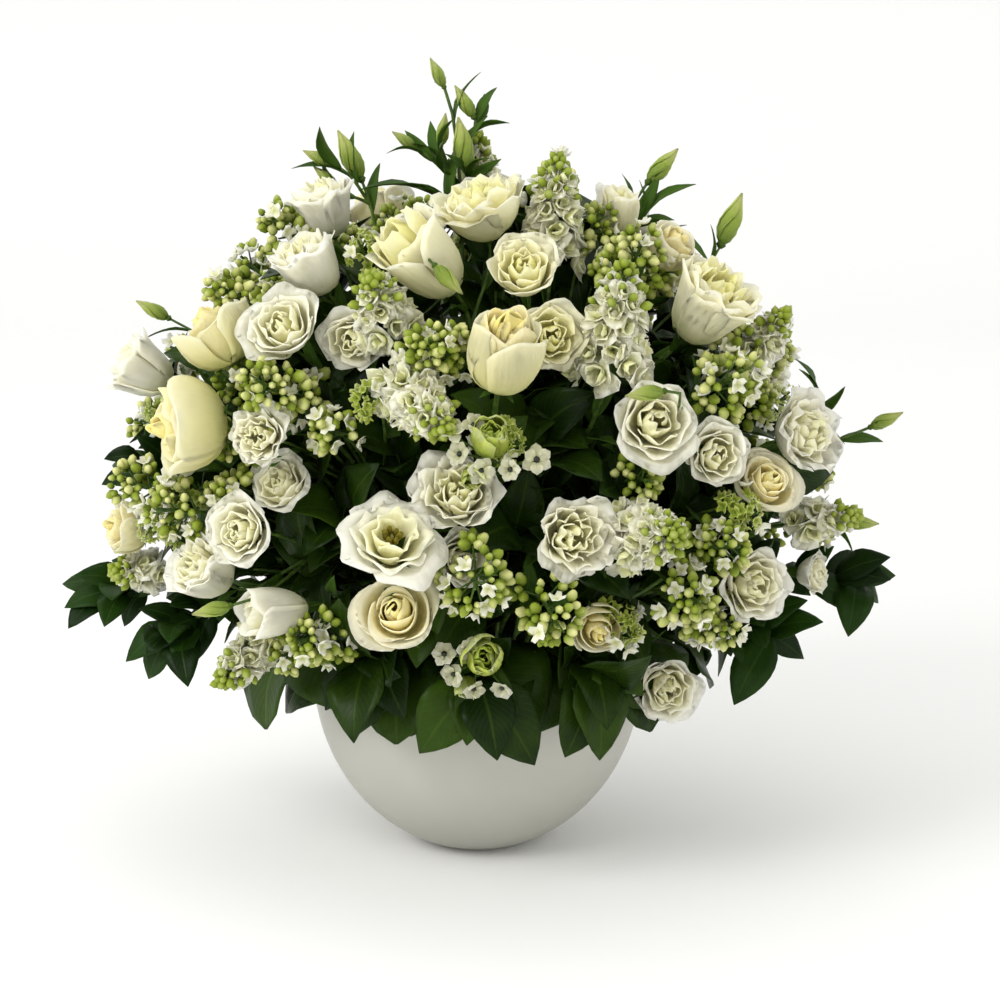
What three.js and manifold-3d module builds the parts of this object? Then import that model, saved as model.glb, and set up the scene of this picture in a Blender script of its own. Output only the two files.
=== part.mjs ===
// A round white bowl of wet floral foam, dressed as a dome: cream roses, white lisianthus, white stock,
// pearl-like flower buds, star-of-Bethlehem, and dark green leaves that hang over the rim.
// Millimetres, +Z up. The bowl stands on z = 0 on its own axis, and the dome's front faces -Y.

import * as THREE from "three";
import { mergeVertices } from "three/addons/utils/BufferGeometryUtils.js";
import Module from "manifold-3d";

const wasm = await Module();
wasm.setup();
const { Manifold } = wasm;

// The bowl and the foam
const BOWL_RADIUS = 133;
const BOWL_RISE = 147.6; // upright half axis of the bowl's ellipse
const BOWL_RIM = 158;
const BOWL_WALL = 5;
const BOWL_SIDES = 26;
const FOOT_RADIUS = 36;
const FLOOR = 7; // height of the bowl's floor
const FOAM_TOP = 190;
const FOAM_NECK = 98; // radius of the foam where it stands above the rim
const FOAM_SIDES = 12;

// The dome of flowers: half axes of the shape that the heads lie on, and the height of its middle
const DOME = { x: 265, y: 225, up: 222, down: 165, middle: 310 };

// Stems: each starts near the heart of the foam and leaves it straight, steeply enough to clear the rim
const HEART = new THREE.Vector3(0, 0, 100);
const STEM_START = 70;
const STEM_STRAIGHT = 126;
const LOWEST_ENTRY = 32;
const STEM_RADIUS = 2.1;
const CLEAR = 0.4; // gap kept between nodes

const LEAF_THICK = 1.4;
const BEAD = 8; // diameter of a pearl bud
const GOLDEN = Math.PI * (3 - Math.sqrt(5));

const finish = (color, roughness) => new THREE.MeshStandardMaterial({ color, roughness, metalness: 0 });
const glaze = finish(0xe4e3dc, 0.45);
const foam_green = finish(0x2f5a3a, 0.95);
const white = finish(0xf4f2e8, 0.55);
const cream = finish(0xf2e9bd, 0.55);
const bud_green = finish(0xa9b957, 0.5);
const leaf_green = finish(0x24431f, 0.4);

const vec = (p) => new THREE.Vector3(...p);
const radians = THREE.MathUtils.degToRad;
const degrees = THREE.MathUtils.radToDeg;

// A number from 0 to 1 that is the same each time for the same count
function draw(n) {
  const s = Math.abs(Math.sin(n * 12.9898)) * 43758.5453;
  return s - Math.floor(s);
}

// The way a flower faces, in degrees: turn 0 is to the front and 90 to the right, and tilt is above level
function facing(turn, tilt) {
  const [a, e] = [radians(turn), radians(tilt)];
  return new THREE.Vector3(Math.sin(a) * Math.cos(e), -Math.cos(a) * Math.cos(e), Math.sin(e));
}

// Axes at a point with +Z along a direction
function axesAt(origin, direction, spin = 0) {
  const z = direction.clone().normalize();
  const up = Math.abs(z.z) > 0.99 ? new THREE.Vector3(0, 1, 0) : new THREE.Vector3(0, 0, 1);
  const x = new THREE.Vector3().crossVectors(up, z).normalize().applyAxisAngle(z, spin);
  const y = new THREE.Vector3().crossVectors(z, x);
  return new THREE.Matrix4().makeBasis(x, y, z).setPosition(origin);
}

// A closed geometry as a solid, its faces turned outwards
function solidOf(geometry) {
  const bare = new THREE.BufferGeometry().setAttribute("position", geometry.getAttribute("position"));
  if (geometry.index) bare.setIndex(geometry.index);
  const merged = mergeVertices(bare, 1e-3);
  const index = merged.index.array;
  const kept = [];
  const turned = [];
  for (let i = 0; i < index.length; i += 3) {
    const [a, b, c] = [index[i], index[i + 1], index[i + 2]];
    if (a === b || b === c || c === a) continue;
    kept.push(a, b, c);
    turned.push(a, c, b);
  }
  const vertProperties = merged.attributes.position.array;
  const build = (triVerts) => new Manifold(new wasm.Mesh({ numProp: 3, vertProperties, triVerts }));
  const solid = build(new Uint32Array(kept));
  return solid.volume() > 0 ? solid : build(new Uint32Array(turned));
}

// A profile of [radius, height] turned about +Z, then moved by a matrix
function turnedSolid(profile, sides, matrix) {
  const g = new THREE.LatheGeometry(profile.map(([r, z]) => new THREE.Vector2(r, z)), sides);
  return solidOf(g.rotateX(Math.PI / 2).applyMatrix4(matrix));
}

// What has its place so far, and each node's body. A piece goes in only where it clears every other node.
const placed = [];
const bodies = new Map();

function reserve(node, solid) {
  placed.push({ node, solid, box: solid.boundingBox() });
}

function place(node, solid) {
  reserve(node, solid);
  bodies.set(node, bodies.has(node) ? bodies.get(node).add(solid) : solid);
}

function isClear(node, solid) {
  const { min, max } = solid.boundingBox();
  const beside = (box, k) => box.min[k] > max[k] + CLEAR || box.max[k] < min[k] - CLEAR;
  const apart = ({ box }) => beside(box, 0) || beside(box, 1) || beside(box, 2);
  return placed.every((o) => o.node === node || apart(o) || solid.minGap(o.solid, 2 * CLEAR) >= CLEAR);
}

// A small piece takes the choice that joins its node most simply, without lying along or across the rest,
// and is left out where there is no room. A joint is judged by the triangles that it adds.
const PLAIN_JOINT = 9;
const MOST_JOINT = 32;
function placeSmall(node, choices) {
  const body = bodies.get(node);
  let best = null;
  let least = MOST_JOINT;
  for (const choice of choices) {
    const solid = choice();
    if (!isClear(node, solid)) continue;
    const added = body.add(solid).numTri() - body.numTri() - solid.numTri();
    if (added <= 0 || added >= least) continue;
    [best, least] = [solid, added];
    if (added <= PLAIN_JOINT) break;
  }
  if (best) place(node, best);
}

// Blooms are turned from a profile of rings, [radius, height, lobe] in bloom widths, that goes up and down
// once for each layer of petals. A ring with a lobe is a rim, which parts into petals and is ruffled.
const FORMS = {
  open_rose: [
    [0, -0.02], [0.27, 0.08], [0.42, 0.28], [0.5, 0.46, 1], [0.37, 0.36], [0.35, 0.6, 0.7],
    [0.23, 0.46], [0.19, 0.64, 0.4], [0, 0.48],
  ],
  rose: [[0, -0.02], [0.3, 0.1], [0.47, 0.36], [0.5, 0.6, 0.8], [0.33, 0.5], [0.3, 0.74, 0.6], [0, 0.56]],
  rose_bud: [[0, -0.02], [0.33, 0.12], [0.5, 0.5], [0.46, 0.95, 0.6], [0.3, 0.8], [0.24, 1.2, 0.4], [0, 1.0]],
  lisianthus: [[0, -0.02], [0.25, 0.18], [0.5, 0.62, 1], [0.31, 0.44], [0.29, 0.74, 0.8], [0, 0.46]],
  ruffled: [
    [0, -0.02], [0.28, 0.16], [0.5, 0.5, 1], [0.34, 0.36], [0.37, 0.68, 0.9], [0.2, 0.48],
    [0.18, 0.76, 0.7], [0, 0.54],
  ],
  cup: [[0, -0.02], [0.4, 0.3], [0.5, 0.85], [0.42, 1.4, 0.8], [0.2, 1.15], [0, 1.3]],
  star: [[0, 0], [0.5, 0.4, 3.2], [0, 0.3]],
};
const PETALS = { open_rose: 5, rose: 5, rose_bud: 4, lisianthus: 4, ruffled: 4, cup: 4, star: 6 };
const NOTCH = 0.15; // how far in a rim goes between two petals, as a share of its radius
const DROP = 0.06; // how far down it goes there, in widths
const RUFFLE = 0.03; // how far a rim's points stray, in widths

// A stem and the head that it ends in, as one surface. The stem is three-sided and runs through its points,
// and the head's rings follow it. A ring without a lobe has one point for each petal.
function grown(stem, radius, head, axes, seed = 0) {
  const { rings, scale, petals, spacing } = head;
  const sides = petals * spacing;
  const headRings = stem.length ? rings.slice(1) : rings;
  const skipped = rings.length - headRings.length;
  const stemAxes = stemFrames(stem, axes);
  const first = stem.length ? stem.length + 1 : 0;
  const g = new THREE.LatheGeometry(Array(first + headRings.length).fill(new THREE.Vector2()), sides);
  const p = g.attributes.position;
  const point = new THREE.Vector3();
  for (let i = 0; i <= sides; i++) {
    const around = i % sides;
    for (let k = 0; k < first; k++) {
      const a = (2 * Math.PI * Math.floor((around * 3) / sides)) / 3;
      point.set(Math.cos(a), Math.sin(a), 0).multiplyScalar(k ? radius : 0);
      p.setXYZ(i * (first + headRings.length) + k, ...point.applyMatrix4(stemAxes[Math.max(k - 1, 0)]));
    }
    headRings.forEach(([r, z, lobe = 0], n) => {
      const k = n + skipped;
      const inner = k % 4 > 1 ? 1 : 0;
      const a = (2 * Math.PI * (lobe ? around : around - ((around + inner) % spacing))) / sides;
      const notch = (around + inner) % spacing === 0 ? lobe : 0;
      const wave = lobe ? RUFFLE * (2 * draw(seed + 31 * k + around) - 1) : 0;
      const out = r * (1 - NOTCH * notch) + wave;
      point.set(out * Math.cos(a), out * Math.sin(a), z - DROP * notch + wave).multiplyScalar(scale);
      p.setXYZ(i * (first + headRings.length) + first + n, ...point.applyMatrix4(axes));
    });
  }
  return solidOf(g);
}

// Axes along a stem, carried back from the head so that the surface doesn't twist.
// The stem's first length is straight.
function stemFrames(stem, headAxes) {
  const x = new THREE.Vector3().setFromMatrixColumn(headAxes, 0);
  const frames = [];
  for (let k = stem.length - 1; k >= 0; k--) {
    const before = stem[Math.max(k < 2 ? 0 : k - 1, 0)];
    const after = stem[Math.min(k < 2 ? 1 : k + 1, stem.length - 1)];
    const z = after.clone().sub(before).normalize();
    x.addScaledVector(z, -x.dot(z)).normalize();
    const y = new THREE.Vector3().crossVectors(z, x);
    frames.unshift(new THREE.Matrix4().makeBasis(x, y, z).setPosition(stem[k]));
  }
  return frames;
}

const PLAIN_END = { rings: [[0, 0], [0, 0]], scale: 1, petals: 3, spacing: 1 };

// What a stem can carry. Each has a centre, the room it needs about it, the way it faces, how far behind its
// centre the stem ends, heads that it cannot do without, and trims that go in where there is room.

function bloom(form, width, at, turn, tilt) {
  const height = Math.max(...FORMS[form].map(([, z]) => z));
  return {
    at: vec(at),
    room: (form === "star" ? 0.3 : 0.52) * width,
    face: facing(turn, tilt),
    back: (height * width) / 2,
    head: { rings: FORMS[form], scale: width, petals: PETALS[form], spacing: form === "star" ? 2 : 3 },
    trims: () => [],
  };
}

// A closed bud, slim and pointed, between two points
function bud(from, tip) {
  const [a, b] = [vec(from), vec(tip)];
  const length = a.distanceTo(b);
  const girth = length * 0.22;
  return {
    at: a.clone().lerp(b, 0.5),
    room: girth,
    face: b.clone().sub(a).normalize(),
    back: length / 2,
    head: { rings: [[0, 0], [0.22, 0.35], [0.15, 0.75], [0, 1]], scale: length, petals: 4, spacing: 1 },
    trims: () => [],
  };
}

// A pearl bud on its stalk
function pearl(from, direction, length, size = BEAD) {
  const r = size / 2;
  const stalk = Math.max(length - r, 0.5);
  return turnedSolid([[0, 0], [0.9, stalk], [r, length], [0, length + r]], 4, axesAt(from, direction));
}

// A bunch of pearl buds that spread from the end of a twig
function pearls(width, at, turn, tilt, count = 5) {
  const reach = width / 2;
  return {
    at: vec(at),
    room: 0.32 * width,
    face: facing(turn, tilt),
    back: 0.3 * reach,
    head: null,
    trims: (base, face, seed) =>
      Array.from({ length: count }, (_, i) => {
        const polar = Math.acos(1 - ((i + 0.3) / count) * 1.5);
        const length = reach * (0.75 + 0.5 * draw(seed + i)) + 0.3 * reach * Math.cos(polar);
        return [0, 0.4, -0.4].map((spin) => () => {
          const way = new THREE.Vector3().setFromSphericalCoords(1, polar, i * GOLDEN + spin);
          const direction = way.applyMatrix4(new THREE.Matrix4().makeRotationX(Math.PI / 2));
          const knot = base.clone().addScaledVector(face, -STEM_RADIUS);
          return pearl(knot, direction.transformDirection(axesAt(base, face)), length);
        });
      }),
  };
}

// A spike of stock: a slim core with double florets all round, and green buds at its tip
function spike(width, length, at, turn, tilt, count = 7) {
  const core = width * 0.13;
  return {
    at: vec(at),
    room: 0.36 * width,
    face: facing(turn, tilt),
    back: length / 2,
    head: { rings: [[0, 0], [core / length, 0.12], [0, 0.92]], scale: length, petals: 4, spacing: 1 },
    trims: (base, face, seed) => {
      const axes = axesAt(base, face, seed);
      const outward = (i, lift) =>
        new THREE.Vector3(Math.cos(i * GOLDEN), Math.sin(i * GOLDEN), lift).transformDirection(axes);
      const florets = Array.from({ length: count }, (_, i) => {
        const along = length * (0.1 + (0.62 * i) / (count - 1));
        const size = width * (0.56 - (0.12 * i) / count);
        const from = base.clone().addScaledVector(face, along);
        return [0, 0.25, -0.25].map((spin) => () => {
          const direction = outward(i + spin, 0.45);
          const root = from.clone().addScaledVector(direction, core * 0.3);
          return floret(size, root, direction, width / 2 - core * 0.3);
        });
      });
      const buds = Array.from({ length: 2 }, (_, i) => {
        const from = base.clone().addScaledVector(face, length * (0.74 + 0.04 * i));
        return [0, 0.4, -0.4].map((spin) => () => pearl(from, outward(i + spin, 1.2), length * 0.15, 7));
      });
      return [...florets, ...buds];
    },
  };
}

// One floret of stock: a funnel whose rim has a corner for each of four petals
function floret(size, base, direction, reach) {
  return turnedSolid([[0, 0], [size / 2, reach], [0, reach * 0.8]], 4, axesAt(base, direction));
}

// A point on the straight lengths that a stem is made of, at a share of its length
function pointAlong(stem, share) {
  const reach = share * (stem.length - 1);
  const k = Math.min(Math.floor(reach), stem.length - 2);
  return stem[k].clone().lerp(stem[k + 1], reach - k);
}

// A leafy twig that ends at a point, with one leaf for each tip in the list
function twig(end, turn, tilt, leafKind, tips) {
  return {
    at: vec(end),
    room: 0,
    face: facing(turn, tilt),
    back: 0,
    head: null,
    trims: (base, face, seed, stem) =>
      tips.map((tip, i) => {
        const goal = vec(tip);
        const along = [...Array(14).keys()].map((k) => pointAlong(stem.slice(-3), 0.35 + 0.05 * k));
        const miss = (p) => Math.abs(p.distanceTo(goal) - leafKind.length);
        const roots = along.sort((a, b) => miss(a) - miss(b)).slice(0, 8);
        const rolls = [0, 20, -20, 40, -40, 60, -60, 80, -80];
        return roots.flatMap((root) => rolls.map((roll) => () => leaf(leafKind, root, goal, roll)));
      }),
  };
}

// A leaf: a thin arched blade, folded up from its rib, with the outline of its kind
const LEAVES = {
  salal: { length: 62, width: 40, rows: 3, fullest: 0.8, arch: 0.14, fold: 0.15 },
  ruscus: { length: 48, width: 21, rows: 3, fullest: 0.85, arch: 0.1, fold: 0.2 },
  narrow: { length: 42, width: 11, rows: 3, fullest: 0.85, arch: 0.12, fold: 0.3 },
};

function leaf({ width, rows, fullest, arch, fold }, root, tip, roll) {
  const y = tip.clone().sub(root);
  const length = y.length();
  y.normalize();
  const middle = root.clone().lerp(tip, 0.5);
  const outward = middle.clone().sub(new THREE.Vector3(0, 0, middle.z - 40));
  const x = new THREE.Vector3().crossVectors(y, outward).normalize().applyAxisAngle(y, radians(roll));
  const z = new THREE.Vector3().crossVectors(x, y);
  const g = new THREE.SphereGeometry(1, 4, rows);
  const p = g.attributes.position;
  for (let i = 0; i < p.count; i++) {
    const t = Math.acos(THREE.MathUtils.clamp(p.getY(i), -1, 1)) / Math.PI;
    const half = (width / 2) * Math.sin(Math.PI * Math.pow(t, fullest));
    const side = Math.round(p.getX(i)) ? Math.sign(p.getX(i)) : 0;
    const face = Math.round(p.getZ(i)) ? Math.sign(p.getZ(i)) : 0;
    const rib = LEAF_THICK * (0.5 + 0.5 * Math.sin(Math.PI * t));
    const lift = length * arch * Math.sin(Math.PI * t) + Math.abs(side) * fold * half;
    p.setXYZ(i, side * half, length * t, lift + (face * rib) / 2);
  }
  const start = root.clone().addScaledVector(y, -2.2);
  return solidOf(g.applyMatrix4(new THREE.Matrix4().makeBasis(x, y, z).setPosition(start)));
}

// A place on the dome's back and sides, and the way that a head there faces
function domePlace(turn, lift) {
  const way = facing(turn, lift);
  const rise = way.z > 0 ? DOME.up : DOME.down;
  return [DOME.x * way.x, DOME.y * way.y, DOME.middle + rise * way.z];
}
const domeBloom = (form, width, turn, lift) =>
  bloom(form, width, domePlace(turn, lift), turn, 0.7 * lift + 8);
const domePearls = (width, turn, lift) => pearls(width, domePlace(turn, lift), turn, lift);
const domeSpike = (width, length, turn, lift) =>
  spike(width, length, domePlace(turn, lift), turn, lift + 25);

// A twig at the back that leans out over the rim at a turn, with its leaves hanging
function rimTwig(turn, drop) {
  const about = new THREE.Matrix4().makeRotationZ(radians(turn));
  const at = (across, out, z) => new THREE.Vector3(across, -out, z).applyMatrix4(about).toArray();
  const hanging = [at(0, 203, 125 - drop), at(-44, 202, 156 - drop), at(46, 200, 150 - drop)];
  return twig(at(0, 178, 186), turn, -25, LEAVES.salal, [...hanging, at(4, 226, 192)]);
}

// The layout: each node, its finish, and what its stem carries
const LAYOUT = [
  ["rose_1", cream, [bloom("rose", 58, [-183, -162, 425], -100, 55)]],
  ["rose_2", cream, [bloom("rose", 70, [-201, -182, 371], -75, 0)]],
  ["rose_3", cream, [bloom("rose", 44, [-262, -108, 278], -70, 10)]],
  ["rose_4", cream, [bloom("rose_bud", 54, [21, -252, 428], 15, 60)]],
  ["rose_5", cream, [bloom("rose", 42, [139, -135, 486], 60, 45)]],
  ["rose_6", cream, [bloom("open_rose", 54, [203, -177, 331], 20, 35)]],
  ["rose_7", cream, [bloom("open_rose", 60, [-52, -252, 250], 0, 15)]],
  ["rose_8", cream, [bloom("rose", 40, [88, -203, 223], 10, -10)]],
  ["rose_9", cream, [domeBloom("open_rose", 58, 155, -12)]],
  ["rose_10", cream, [domeBloom("rose", 58, 210, 12)]],
  ["rose_11", cream, [domeBloom("rose", 56, 132, 36)]],
  ["rose_12", cream, [domeBloom("open_rose", 58, 222, 62)]],
  ["lisianthus_1", white, [
    bloom("lisianthus", 50, [-110, -111, 515], -50, 50),
    bloom("lisianthus", 50, [-117, -164, 474], -35, 45),
    bloom("lisianthus", 54, [-131, -189, 436], -15, 35),
  ]],
  ["lisianthus_2", white, [
    bloom("lisianthus", 48, [-245, -108, 397], -90, 5),
    bloom("lisianthus", 42, [-89, -187, 430], -10, 0),
    bloom("ruffled", 40, [-149, -212, 369], -20, 10),
    bloom("lisianthus", 44, [-138, -186, 323], -30, 35),
  ]],
  ["lisianthus_3", white, [
    bloom("lisianthus", 48, [-164, -218, 296], -25, 10),
    bloom("lisianthus", 48, [-192, -191, 261], -40, 0),
    bloom("cup", 38, [-143, -211, 237], -60, 0),
    bud([-172, -215, 242], [-200, -218, 236]),
  ]],
  ["lisianthus_4", white, [
    bloom("lisianthus", 64, [-42, -168, 495], -85, 45),
    bloom("ruffled", 68, [1, -144, 517], -40, 70),
    bud([-28, -205, 482], [-8, -212, 462]),
  ]],
  ["lisianthus_5", white, [
    bloom("lisianthus", 50, [38, -193, 471], -10, 40),
    bloom("lisianthus", 48, [54, -203, 438], 10, 15),
  ]],
  ["lisianthus_6", white, [
    bloom("cup", 30, [107, -112, 515], 0, 80),
    bloom("ruffled", 60, [164, -157, 450], 60, 25),
  ]],
  ["lisianthus_7", white, [
    bloom("lisianthus", 58, [129, -220, 375], 10, 15),
    bloom("ruffled", 58, [237, -144, 351], 50, 20),
    bloom("lisianthus", 46, [175, -196, 345], 15, 5),
    bud([134, -235, 393], [106, -240, 390]),
  ]],
  ["lisianthus_8", white, [
    bloom("lisianthus", 52, [200, -171, 247], 25, 5),
    bloom("lisianthus", 34, [259, -79, 236], 60, 0),
    bloom("lisianthus", 46, [143, -133, 161], 10, -25),
  ]],
  ["lisianthus_9", white, [
    bloom("ruffled", 58, [-18, -245, 320], -5, 35),
    bloom("lisianthus", 62, [-48, -267, 299], -15, 20),
    bloom("lisianthus", 42, [-9, -225, 280], 20, 0),
  ]],
  ["lisianthus_10", white, [bloom("ruffled", 54, [68, -248, 298], 15, 10)]],
  ["lisianthus_11", white, [
    domeBloom("lisianthus", 54, 104, -12),
    domeBloom("ruffled", 56, 130, 12),
    domeBloom("lisianthus", 56, 118, 60),
  ]],
  ["lisianthus_12", white, [
    domeBloom("lisianthus", 56, 183, -10),
    domeBloom("ruffled", 58, 186, 33),
    domeBloom("lisianthus", 58, 165, 62),
  ]],
  ["lisianthus_13", white, [
    domeBloom("lisianthus", 56, 230, -12),
    domeBloom("lisianthus", 54, 254, 14),
    domeBloom("ruffled", 58, 236, 38),
  ]],
  ["stock_1", white, [spike(50, 78, [56, -138, 515], 10, 78)]],
  ["stock_2", white, [spike(60, 86, [96, -202, 440], 20, 70, 9)]],
  ["stock_3", white, [spike(36, 52, [212, -134, 424], 50, 50, 7)]],
  ["stock_4", white, [spike(56, 60, [122, -243, 298], 30, 10)]],
  ["stock_5", white, [
    spike(46, 60, [-166, -166, 194], -50, -35),
    pearls(34, [-118, -211, 216], -20, 0, 5),
  ]],
  ["stock_6", white, [spike(52, 72, [-36, -238, 388], 30, -20, 9)]],
  ["stock_7", white, [
    spike(48, 56, [-66, -204, 450], -20, 50),
    pearls(38, [-30, -226, 425], 0, 30, 5),
  ]],
  ["stock_8", white, [spike(36, 50, [262, -110, 284], 75, 10, 7)]],
  ["stock_9", white, [domeSpike(54, 70, 102, 20), domeSpike(56, 70, 156, 38)]],
  ["stock_10", white, [domeSpike(54, 66, 205, -10), domeSpike(52, 76, 185, 84)]],
  ["pearls_1", bud_green, [
    pearls(32, [-147, -107, 511], -50, 50, 5),
    pearls(36, [-182, -138, 461], -60, 30, 5),
  ]],
  ["pearls_2", bud_green, [pearls(52, [176, -184, 397], 30, 25, 6)]],
  ["pearls_3", bud_green, [
    pearls(46, [-211, -171, 302], -50, 10),
    pearls(38, [-247, -138, 315], -70, 20, 4),
    spike(36, 42, [-256, -93, 242], -70, 0, 6),
  ]],
  ["pearls_4", bud_green, [pearls(56, [1, -261, 270], 0, 0, 7)]],
  ["pearls_5", bud_green, [pearls(50, [53, -255, 246], 10, -10, 6)]],
  ["pearls_6", bud_green, [
    pearls(36, [178, -200, 281], 30, 10, 4),
    pearls(38, [152, -212, 248], 20, 0, 5),
    pearls(34, [177, -174, 221], 30, -20, 4),
  ]],
  ["pearls_7", bud_green, [pearls(40, [119, -151, 485], 20, 45)]],
  ["pearls_8", bud_green, [pearls(48, [-143, -206, 393], -25, 20, 6)]],
  ["pearls_9", bud_green, [domePearls(50, 130, -16), domePearls(52, 160, 12)]],
  ["pearls_10", bud_green, [domePearls(48, 256, -16), domePearls(52, 218, 36)]],
  ["stars", white, [
    pearls(30, [8, -256, 356], 0, 20, 4),
    bloom("star", 20, [43, -262, 354], 5, 10),
    pearls(30, [3, -226, 201], 0, -10, 4),
  ]],
  ["buds_top", bud_green, [
    bud([-25, 0, 604], [-36, 0, 627]),
    bud([-2, 0, 581], [-17, 0, 606]),
    bud([-28, -10, 559], [-24, -10, 585]),
    bud([-7, -20, 540], [-14, -20, 582]),
    bud([-47, -20, 559], [-65, -20, 571]),
    twig([-20, -20, 515], 0, 80, LEAVES.narrow, [
      [-45, -40, 529], [-56, -40, 533], [6, -10, 580], [-84, -50, 528],
    ]),
  ]],
  ["buds_left", bud_green, [
    bud([-88, -30, 534], [-106, -30, 572]),
    bud([-108, -40, 546], [-132, -40, 557]),
    bud([-106, -40, 529], [-124, -40, 545]),
    bud([-241, -10, 426], [-267, -10, 440]),
  ]],
  ["buds_right", bud_green, [
    bud([131, -30, 532], [155, -20, 558]),
    bud([188, -30, 484], [205, -20, 524]),
    twig([125, -35, 505], 30, 70, LEAVES.narrow, [
      [139, -30, 536], [165, -30, 530], [93, -40, 514], [174, -60, 474],
    ]),
  ]],
  ["buds_low", bud_green, [
    bud([305, -40, 344], [331, -40, 356]),
    bud([286, -50, 271], [314, -45, 269]),
    twig([262, -45, 355], 80, 20, LEAVES.narrow, [
      [241, -80, 407], [245, -80, 395], [290, -40, 330], [284, -62, 380],
    ]),
  ]],
  ["leaves_left", leaf_green, [
    twig([-296, -45, 212], -85, -10, LEAVES.ruscus, [
      [-320, -60, 206], [-327, -30, 218], [-286, -90, 197],
      [-278, -95, 220], [-300, -10, 200], [-270, 0, 205],
    ]),
    twig([-240, -98, 192], -65, -20, LEAVES.ruscus, [
      [-269, -100, 172], [-248, -118, 184], [-217, -130, 162], [-229, -138, 196],
    ]),
    twig([-262, -40, 318], -85, 20, LEAVES.ruscus, [[-260, -62, 340], [-292, -40, 300]]),
  ]],
  ["leaves_right", leaf_green, [
    twig([300, -35, 222], 85, -5, LEAVES.ruscus, [
      [333, -30, 225], [321, -60, 246], [288, -75, 188],
      [304, -50, 200], [310, 5, 215], [275, 10, 205],
    ]),
    twig([226, -96, 192], 60, -20, LEAVES.ruscus, [
      [251, -110, 223], [252, -90, 172], [217, -112, 160], [197, -112, 143], [215, -132, 208],
    ]),
  ]],
  ["leaves_front_1", leaf_green, [
    twig([-78, -165, 192], -20, -20, LEAVES.salal, [
      [-99, -200, 245], [-86, -188, 143], [-51, -184, 148], [-112, -172, 152], [-61, -205, 180],
    ]),
  ]],
  ["leaves_front_2", leaf_green, [
    twig([2, -172, 178], 0, -25, LEAVES.salal, [
      [-40, -178, 124], [-6, -192, 134], [42, -182, 117], [16, -200, 124],
    ]),
  ]],
  ["leaves_front_3", leaf_green, [
    twig([82, -164, 184], 20, -25, LEAVES.salal, [
      [92, -178, 116], [101, -205, 206], [66, -180, 119], [124, -172, 165], [96, -200, 146],
    ]),
  ]],
  ["leaves_inner", leaf_green, [
    twig([-92, -150, 285], -30, 10, LEAVES.salal, [
      [-134, -200, 309], [-76, -200, 290], [-118, -190, 262],
    ]),
    twig([42, -140, 345], 10, 20, LEAVES.salal, [
      [4, -185, 383], [88, -170, 389], [47, -190, 331], [80, -180, 350],
    ]),
    twig([95, -150, 222], 30, 0, LEAVES.salal, [[110, -205, 250], [125, -190, 192]]),
  ]],
  ["leaves_back_1", leaf_green, [rimTwig(100, 0), rimTwig(132, -12), rimTwig(164, 5)]],
  ["leaves_back_2", leaf_green, [rimTwig(196, -8), rimTwig(228, 4), rimTwig(258, -14)]],
];

// Heads that would cross are eased apart, as they press on each other in a full dome
const EASE_ROUNDS = 60;
function easeApart(items) {
  for (let round = 0; round < EASE_ROUNDS; round++) {
    items.forEach((a, i) => {
      for (const b of items.slice(i + 1)) {
        const way = b.at.clone().sub(a.at);
        const short = a.room + b.room - way.length();
        if (short <= 0) continue;
        way.setLength(short / 2);
        a.at.sub(way);
        b.at.add(way);
      }
    });
  }
}

// The bowl's ellipse, drawn smaller by an inset, from one height to another
const WIDEST = BOWL_RISE * Math.sqrt(1 - (FOOT_RADIUS / BOWL_RADIUS) ** 2);
function bowlCurve(inset, from, to, points) {
  return Array.from({ length: points }, (_, i) => {
    const rise = BOWL_RISE - inset;
    const angle = (z) => Math.acos((WIDEST - z) / rise);
    const a = THREE.MathUtils.lerp(angle(from), angle(to), i / (points - 1));
    return [(BOWL_RADIUS - inset) * Math.sin(a), WIDEST - rise * Math.cos(a)];
  });
}

function bowlSolid() {
  const outside = bowlCurve(0, 0, BOWL_RIM, 7);
  const inside = bowlCurve(BOWL_WALL, FLOOR, BOWL_RIM, 5).reverse();
  return turnedSolid([[0, 0], ...outside, ...inside, [0, FLOOR]], BOWL_SIDES, new THREE.Matrix4());
}

// Foam packed in the bowl and heaped above its rim
function foamBlank() {
  const seat = FLOOR + 0.3;
  const side = bowlCurve(BOWL_WALL + 2, seat, BOWL_RIM - 6, 5);
  const heap = [[FOAM_NECK, BOWL_RIM], [0.8 * FOAM_NECK, FOAM_TOP]];
  return turnedSolid([[0, seat], ...side, ...heap, [0, FOAM_TOP]], FOAM_SIDES, new THREE.Matrix4());
}

// The turn of a point as seen from the heart of the foam, and the slope of a stem that leaves the foam for it.
// A low head's stem still leaves at the lowest entry, and a head right above has its stem upright.
function entryTo(point) {
  const way = point.clone().sub(HEART);
  const seen = degrees(Math.atan2(way.z, Math.hypot(way.x, way.y)));
  const slope = THREE.MathUtils.mapLinear(Math.max(seen, 10), 10, 88, LOWEST_ENTRY, 88);
  return [degrees(Math.atan2(way.x, -way.y)), slope];
}

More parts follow.
